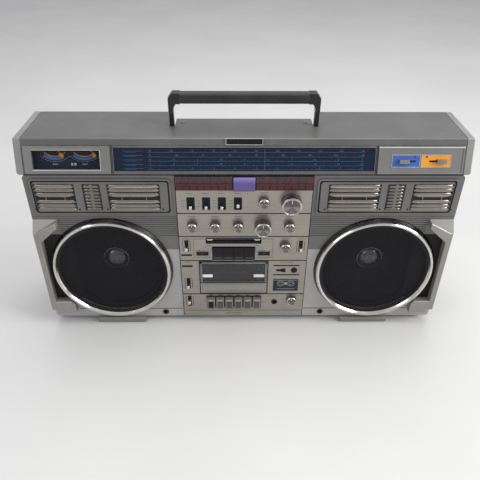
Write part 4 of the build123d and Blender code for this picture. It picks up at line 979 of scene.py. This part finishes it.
def recording_deck():
    """Door trim, labels, the parts seen in the well, the right-hand fields and the key surrounds."""
    low, high = edges("cassette_door")
    glass_low, glass_high = edges("cassette_window")
    face = low[1] - BAFFLE
    x, z = (low[0], high[0]), (glass_low[2] - 1.0, high[2])
    spans = [
        (x, (face - 0.5, face + 0.2), (glass_high[2] - 0.5, z[1])),
        ((x[0], glass_low[0] + 0.5), (face - 0.5, face + 0.2), z),
        ((glass_high[0] - 0.5, x[1]), (face - 0.5, face + 0.2), z),
    ]
    boxes("door_frame_dark", spans, "deck_mid", body="cassette_door", bevel=0.3, slot="deck_black")
    bar = (low[2] + 3.2, glass_low[2] - 2.0)
    boxes("door_bar", [((x[0] + 0.8, x[1] - 0.8), (face - 0.9, face + 0.1), bar)], "subplate",
          body="cassette_door", bevel=0.7, slot="door_silver")
    lines = frame_boxes((x[0] + 3.0, x[1] - 3.0), (bar[0] + 2.0, bar[1] - 2.0), (face - 1.02, face - 0.8),
                        0.5)
    lines.append(((x[0] + 9.0, x[1] - 9.0), (face - 1.02, face - 0.8), (bar[0] + 5.0, bar[0] + 5.7)))
    boxes("door_bar_lines", lines, "print_grey", body="cassette_door", slot="door_silver")
    pane = glass_low[1] - BAFFLE
    outline = frame_boxes((x[0] - 1.9, x[1] + 1.9), (low[2] - 1.9, high[2] + 1.7),
                          (FRONT - BAFFLE - 0.35, FRONT - BAFFLE + 0.1), 1.5)
    boxes("door_outline", outline, "print_black", slot="deck_black")
    split = [((x[0] + 0.5, x[1] - 0.5), (face - 0.55, face + 0.1), (bar[1] + 0.3, bar[1] + 1.6))]
    boxes("door_split_line", split, "print_black", body="cassette_door", slot="deck_black")
    edge = frame_boxes((glass_low[0] - 1.2, glass_high[0] + 1.2), (glass_low[2] + 1.0, glass_high[2] + 1.0),
                       (face - 0.75, face - 0.3), 0.7)
    boxes("door_window_edge", edge, "steel", body="cassette_door", slot="door_silver")
    labels = [((c - 10.5, c + 10.5), (pane - 0.25, pane), (115.0, 122.0)) for c in (-70.3, 30.4)]
    boxes("door_labels", labels, "label", body="cassette_door", bevel=0.1, slot="door_silver")
    well = [((-81.0, -64.0), (14.0, 17.6), (78.0, 150.0)), ((26.0, 43.0), (14.0, 17.6), (78.0, 150.0)),
            ((-40.0, 2.0), (15.6, 17.8), (132.0, 149.0)), ((-52.0, 14.0), (16.0, 17.8), (108.0, 114.0))]
    boxes("well_fittings", well, "deck_mid", bevel=0.8, slot="deck_black")
    bm = bmesh.new()
    for cx in (-40.25, 2.25):
        spindle = [(4.4, 17.8), (4.4, 10.5), (2.2, 8.5), (0.0, 8.0), (0.0, 17.8), (4.4, 17.8)]
        add_lathe(bm, spindle, about(cx, 117.0), 24, lambda ring, i: -1.2 if i % 4 == 0 and ring < 2 else 0.0)
    finish_mesh("deck_spindles", bm, "steel", slot="deck_black", smooth=30)

    front = FRONT - BAFFLE
    depth = (front - 0.3, front + 0.1)
    symbols = [((58.0, 108.5), depth, (z0 - 1.2, z0 + 1.2)) for z0 in (142.7, 120.2)]
    symbols += frame_boxes((47.7, 118.0), (76.5, 151.5), depth, 0.4)[2:3]
    boxes("remote_field_lines", symbols, "print_black", slot="deck_black")
    plug = [(-9.5, -2.2), (-1.0, -2.4), (2.0, -4.4), (8.5, -4.4), (8.5, 4.4), (2.0, 4.4), (-1.0, 2.4),
            (-9.5, 2.2)]
    prism("remote_plug_sign", [(73.0 + a, 131.3 + b) for a, b in plug], front - 0.4, front + 0.1,
          front_place, "gloss_black", slot="deck_black")
    prism("tape_sign_panel", rounded_outline((58.8, 108.3), (80.0, 109.0), 1.5, 3), front - 0.9, front + 0.1,
          front_place, "blue_screen", bevel=0.3, slot="deck_black")
    bm = bmesh.new()
    for cx in (73.2, 93.8):
        for radius in (7.0, 4.0):
            ring = [(radius, front - 1.1), (radius - 0.9, front - 1.1), (radius - 0.9, front - 0.8),
                    (radius, front - 0.8), (radius, front - 1.1)]
            add_lathe(bm, ring, about(cx, 99.0), 40)
    finish_mesh("tape_sign_reels", bm, "screen_line", slot="deck_black", smooth=30)
    sign = [((60.5, 106.5), (front - 1.1, front - 0.8), (106.6, 107.4)),
            ((81.0, 86.0), (front - 1.1, front - 0.8), (96.0, 102.5)),
            ((66.0, 101.0), (front - 1.1, front - 0.8), (85.0, 86.0))]
    boxes("tape_sign_lines", sign, "screen_line", slot="deck_black")

    bm = bmesh.new()
    for node in DECK_KEYS:
        low, high = edges(node)
        add_ring(bm, (low[0] - 1.35, high[0] + 1.35), (low[2] - 2.2, high[2] + 2.0), 1.0, 1.2,
                 (front - 1.3, front + 0.1))
        cx = (low[0] + high[0]) / 2
        peak = [(cx - 3.0, high[2] + 1.4), (cx + 3.0, high[2] + 1.4), (cx, high[2] + 4.4)]
        add_prism(bm, peak, front - 0.7, front + 0.1, front_place)
    finish_mesh("key_surrounds", bm, "gloss_black", bevel=0.25, slot="deck_black")
    for node in DECK_KEYS:
        low, high = edges(node)
        tip = low[1] - BAFFLE
        inset = "gloss_black" if node == "record_key" else "key_dark"
        spans = [((low[0] + 3.0, high[0] - 3.0), (tip + 0.6, tip + 2.9), (low[2] + 3.2, high[2] - 7.4))]
        boxes(f"{node}_inset", spans, inset, body=node, bevel=0.3, slot="key_silver")
        spans = [((low[0] + 2.6, high[0] - 2.6), (tip - 0.3, tip + 0.8), (high[2] - 4.6, high[2] - 1.2))]
        boxes(f"{node}_ridge", spans, "knob_rim", body=node, bevel=0.5, slot="key_silver")


# ---- Dial and meters ----
DIAL_U = (edges("dial_glass")[1][0] * -1, edges("dial_glass")[1][0])
METER_U = (edges("dial_glass")[0][0], edges("dial_glass")[0][0] + 114.0)
DIAL_V = (4.8, 45.0)
METER_V = (8.0, 40.0)
SCALE_W = (-10.5, -10.3)
GLASS_W = (-0.8, -0.72)
PIVOT_V = 44.0
METERS = {"left": METER_U[0] + 38.5, "right": METER_U[0] + 94.0}
METER_ARCS = {"left": METERS["left"] - 3.0, "right": METERS["right"] - 8.0}
ARC_V = 55.0
BADGE_U, BADGE_V = (-31.7, 31.0), (49.9, 61.0)
BEZEL_U = (edges("end_caps")[1][0] - 16.0 - 146.0, edges("end_caps")[1][0] - 16.0)


def add_number(bm, text, u, v, height):
    """A number laid on the dial's back plate."""
    curve = bpy.data.curves.new("number", "FONT")
    curve.body = text
    curve.size = height
    curve.align_x = "CENTER"
    holder = bpy.data.objects.new("number", curve)
    bpy.context.scene.collection.objects.link(holder)
    bpy.context.view_layer.update()
    flat = bpy.data.meshes.new_from_object(holder.evaluated_get(bpy.context.evaluated_depsgraph_get()))
    points = [bm.verts.new(band(u + p.co.x, v + p.co.y, GLASS_W[1])) for p in flat.vertices]
    for polygon in flat.polygons:
        bm.faces.new([points[i] for i in polygon.vertices])
    bpy.data.objects.remove(holder)
    bpy.data.curves.remove(curve)
    bpy.data.meshes.remove(flat)


DIAL_ROWS = (
    (38.0, ("88", "90", "92", "94", "96", "98", "100", "102", "104", "106", "108")),
    (30.5, ("53", "60", "70", "80", "90", "100", "120", "140", "160")),
    (23.0, ("2.3", "2.5", "3", "3.5", "4", "4.5", "5", "5.5", "6", "7")),
    (15.5, ("7", "8", "9", "10", "12", "14", "16", "18", "20", "22")),
    (8.5, ("0", "1", "2", "3", "4", "5", "6", "7", "8", "9", "10")),
)


def dial():
    """Scale rows, panes and the blank badge."""
    numbers = bmesh.new()
    lines = []
    start, end = DIAL_U[0] + 62.0, DIAL_U[1] - 22.0
    for v, texts in DIAL_ROWS:
        step = (end - start) / (len(texts) - 1)
        lines.append(((DIAL_U[0] + 16.0, start - 12.0), (v + 1.0, v + 1.5), GLASS_W))
        lines.append(((DIAL_U[0] + 20.0, start - 24.0), (v - 1.0, v - 0.6), GLASS_W))
        lines.append(((start - 4.0, end + 4.0), (v - 1.4, v - 1.0), GLASS_W))
        for i, text in enumerate(texts):
            at = start + i * step
            add_number(numbers, text, at, v, 4.6)
            for k in range(4):
                tick = at + (k + 0.5) * step / 4
                if tick < end:
                    lines.append(((tick - 0.15, tick + 0.15), (v - 1.2, v + (1.4 if k % 2 else 0.4)),
                                  GLASS_W))
    finish_mesh("dial_numbers", numbers, "dial_print", "cabinet", slot="dial_scale")
    band_boxes("dial_lines", lines, "dial_print", slot="dial_scale")
    pane_w = (-2.8, -0.8)
    pane = band_boxes("dial_pane", [(DIAL_U, DIAL_V, pane_w)], "dial_glass", slot="dial_glass")
    band_boxes("meter_pane", [(METER_U, METER_V, pane_w)], "meter_glass", slot="dial_glass")
    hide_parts("dial_glass")
    band_boxes("badge_plate", [(BADGE_U, BADGE_V, (-0.1, 2.6))], "gloss_black", bevel=0.5, slot="deck_black")
    rim = [(u, v, w) for u, w, v in frame_boxes(BADGE_U, BADGE_V, (0.0, 2.9), 0.9)]
    band_boxes("badge_rim", rim, "rim_bright", bevel=0.15, slot="silver_trim")


def add_arc(bm, centre, radii, angles, w, steps=24):
    """Part of a flat ring on the band, hanging below its centre."""
    outline = []
    for radius, order in ((radii[0], range(steps + 1)), (radii[1], range(steps, -1, -1))):
        for i in order:
            angle = radians(angles[0] + (angles[1] - angles[0]) * i / steps)
            outline.append((centre + radius * sin(angle), ARC_V - radius * cos(angle)))
    half = steps + 1
    for i in range(steps):
        quad = [outline[i], outline[i + 1], outline[2 * half - 2 - i], outline[2 * half - 1 - i]]
        add_prism(bm, quad, w[0], w[1], band)


def meters():
    """Scales of the two level meters, the flags on their needles, and the bezel round them."""
    blue, orange, ticks = bmesh.new(), bmesh.new(), []
    for centre in METER_ARCS.values():
        add_arc(blue, centre, (28.6, 33.2), (-38, 28), SCALE_W)
        add_arc(orange, centre, (25.8, 27.4), (-42, 42), SCALE_W)
        for i in range(13):
            angle = radians(-42 + 7 * i)
            u, v = centre + 35.6 * sin(angle), ARC_V - 35.6 * cos(angle)
            ticks.append(((u - 0.55, u + 0.55), (v - 0.55, v + 0.55), SCALE_W))
        ticks.append(((centre - 5.0, centre + 4.0), (14.6, 15.6), SCALE_W))
    join = (METERS["left"] + METERS["right"]) / 2
    for u in (join - 4.4, join + 1.0):
        ticks.append(((u, u + 3.6), (13.0, 17.2), SCALE_W))
    finish_mesh("meter_bands", blue, "print_blue", "cabinet", slot="dial_scale")
    finish_mesh("meter_arcs", orange, "orange", "cabinet", slot="dial_scale")
    band_boxes("meter_marks", ticks, "print_white", slot="dial_scale")
    lean = radians(34.0)
    for side, centre in METERS.items():
        flag = []
        for across, down in ((-3.0, 11.8), (3.0, 11.8), (3.8, 15.5), (3.0, 19.2), (-3.0, 19.2), (-3.8, 15.5)):
            flag.append((centre + down * sin(lean) + across * cos(lean),
                         PIVOT_V - down * cos(lean) + across * sin(lean)))
        prism(f"meter_flag_{side}", flag, -9.2, -8.0, band, "orange", f"meter_needle_{side}", bevel=0.3,
              slot="needle_orange")
    u, v, w = (-BEZEL_U[1], -BEZEL_U[0]), (0.5, 47.0), (1.15, 2.3)
    spans = [(u, (v[0], METER_V[0] - 0.4), w), (u, (METER_V[1] + 0.4, v[1]), w),
             ((u[0], METER_U[0] - 0.4), (METER_V[0] - 0.6, METER_V[1] + 0.6), w),
             ((METER_U[1] + 0.4, u[1]), (METER_V[0] - 0.6, METER_V[1] + 0.6), w)]
    band_boxes("meter_bezel", spans, "bezel", bevel=0.5, slot="casing")
    # Painted highlights: bright strips along the lower, upper and right edges of the meter window.
    inner_u, inner_v = (METER_U[0] - 0.4, METER_U[1] + 0.4), (METER_V[0] - 0.6, METER_V[1] + 0.6)
    rim = [(inner_u, (inner_v[0] - 1.6, inner_v[0]), (1.2, 2.6)),
           (inner_u, (inner_v[1], inner_v[1] + 0.9), (1.2, 2.6)),
           ((inner_u[1], inner_u[1] + 1.2), (inner_v[0] - 1.2, inner_v[1] + 0.5), (1.2, 2.6))]
    band_boxes("meter_window_painted_highlights", rim, "rim_bright", bevel=0.4, slot="silver_trim")
    joints = []
    for side in SIDES.values():
        for start in (1.0, 3.2):
            at = BEZEL_U[0] - start
            joints.append((mirrored((at - 0.5, at + 0.5), side), (-0.5, 48.5), (-0.2, 0.14)))
    band_boxes("bezel_joints", joints, "print_black", slot="deck_black")


def switch_panel():
    """Bezel, coloured plates and tell-tales of the two slide switches."""
    u, v = BEZEL_U, (0.5, 47.0)
    frame_w = (1.15, 2.3)
    rim = [(u, (v[0], v[0] + 2.2), frame_w), (u, (v[1] - 2.2, v[1]), frame_w),
           ((u[0], u[0] + 2.6), (v[0] + 2.0, v[1] - 2.0), frame_w),
           ((u[1] - 2.6, u[1]), (v[0] + 2.0, v[1] - 2.0), frame_w)]
    band_boxes("switch_bezel_rim", rim[:1] + rim[2:], "bezel", bevel=0.6, slot="casing")
    # Painted highlight: the top side of the bezel frame takes the brighter finish where light from above
    # catches it.
    band_boxes("switch_bezel_painted_highlight_edge", rim[1:2], "rim_bright", bevel=0.9, slot="silver_trim")
    band_boxes("switch_bezel_face", [((u[0] + 2.4, u[1] - 2.4), (v[0] + 2.0, v[1] - 2.0), (1.1, 1.3))],
               "bezel",
               slot="casing")
    plates = {"input": ((250.5, 298.0), "plate_blue"), "output": ((300.5, 350.5), "plate_orange")}
    for name, (span, finish) in plates.items():
        band_boxes(f"{name}_plate", [(span, (12.6, 33.0), (1.2, 1.48))], finish, slot="fascia_metal")
        rim = [(span, (12.0, 12.9), (1.2, 2.1)), (span, (32.7, 33.6), (1.2, 2.1)),
               ((span[0] - 0.4, span[0] + 0.5), (12.4, 33.2), (1.2, 2.1)),
               ((span[1] - 0.5, span[1] + 0.4), (12.4, 33.2), (1.2, 2.1))]
        band_boxes(f"{name}_plate_rim", rim, "rim_bright", bevel=0.25, slot="silver_trim")
    slots = [((262.0, 291.0), (20.9, 24.1), (1.4, 1.53)), ((314.0, 343.0), (20.9, 24.1), (1.4, 1.53))]
    band_boxes("switch_slots", slots, "print_black", slot="deck_black")
    bm = bmesh.new()
    for at in (289.5, 309.5):
        dome = [(1.7, 1.4), (1.6, 2.1), (1.0, 2.7), (0.0, 2.9), (0.0, 1.4), (1.7, 1.4)]
        add_lathe(bm, dome, lambda a, b, h, c=at: band(c + a, 30.2 + b, h), 20)
    finish_mesh("switch_lamps", bm, "red_led", slot="display_red", smooth=50)
    for node in ("input_switch", "output_switch"):
        low, high = edges(node)
        bm = bmesh.new()
        for i in range(5):
            at = (low[0] + high[0]) / 2 - 5.0 + 2.5 * i
            add_band_box(bm, (at - 0.45, at + 0.45), (19.4, 25.6), (7.4, 8.1))
        finish_mesh(f"{node}_ribs", bm, "slider", node, bevel=0.15, slot="switch_chrome")


# ---- Stage ----
LAMPS = (
    ("ceiling", (0.1, 0.5, 2.6), (0.0, 0.0, 0.2), 2.4, 54.0),
    ("front_left", (-2.0, -1.7, 1.8), (0.0, 0.0, 0.25), 1.4, 18.0),
    ("front_right", (2.4, -0.9, 1.7), (0.0, 0.0, 0.25), 1.4, 72.0),
)


FLOOR_REACH = 9000.0
FLOOR_THICKNESS = 20.0
WORLD_COLOUR, WORLD_STRENGTH = (0.95, 0.96, 1.0, 1.0), 0.62
CAMERA_PLACE = (-0.0159, -0.8753, 0.7608)
CAMERA_YAW, CAMERA_PITCH, CAMERA_ROLL = 0.63, 34.61, 0.32
CAMERA_LENS, CAMERA_SENSOR = 39.6, 36.0


def stage():
    """Floor, lights and camera."""
    bm = bmesh.new()
    span = (-FLOOR_REACH, FLOOR_REACH)
    add_box(bm, span, span, (-FLOOR_THICKNESS, 0.0))
    bmesh.ops.scale(bm, vec=(MM, MM, MM), verts=bm.verts)
    mesh = bpy.data.meshes.new("floor")
    bm.to_mesh(mesh)
    bm.free()
    mesh.materials.append(M["floor"])
    floor = bpy.data.objects.new("floor", mesh)
    bpy.context.scene.collection.objects.link(floor)

    world = bpy.data.worlds.new("studio")
    bpy.context.scene.world = world
    world.use_nodes = True
    background = world.node_tree.nodes["Background"]
    background.inputs["Color"].default_value = WORLD_COLOUR
    background.inputs["Strength"].default_value = WORLD_STRENGTH
    for name, place, target, size, power in LAMPS:
        light = bpy.data.lights.new(name, "AREA")
        light.size = size
        light.energy = power
        lamp = bpy.data.objects.new(name, light)
        bpy.context.scene.collection.objects.link(lamp)
        lamp.location = place
        lamp.rotation_euler = (Vector(target) - Vector(place)).to_track_quat("-Z", "Y").to_euler()

    camera = bpy.data.cameras.new("camera")
    camera.lens = CAMERA_LENS
    camera.sensor_width = CAMERA_SENSOR
    eye = bpy.data.objects.new("camera", camera)
    bpy.context.scene.collection.objects.link(eye)
    yaw, pitch, roll = radians(CAMERA_YAW), radians(CAMERA_PITCH), radians(CAMERA_ROLL)
    look = Vector((sin(yaw) * cos(pitch), cos(yaw) * cos(pitch), -sin(pitch)))
    right = Vector((cos(yaw), -sin(yaw), 0.0))
    up = right.cross(look)
    turned_right = right * cos(roll) + up * sin(roll)
    turned_up = up * cos(roll) - right * sin(roll)
    turn = Matrix((turned_right, turned_up, -look)).transposed().to_4x4()
    eye.matrix_world = Matrix.Translation(CAMERA_PLACE) @ turn
    bpy.context.scene.camera = eye
    bpy.context.scene.view_settings.view_transform = "Standard"


make_materials()
dress_casing()
front_trim()
rear_trim()
loudspeakers()
horn_panels()
station_strip()
panel_lines()
lever_sets()
lever_frames()
for knob_node in [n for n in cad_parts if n.endswith("_knob")]:
    knob_set(knob_node)
slot_player()
recording_deck()
dial()
meters()
switch_panel()
stage()
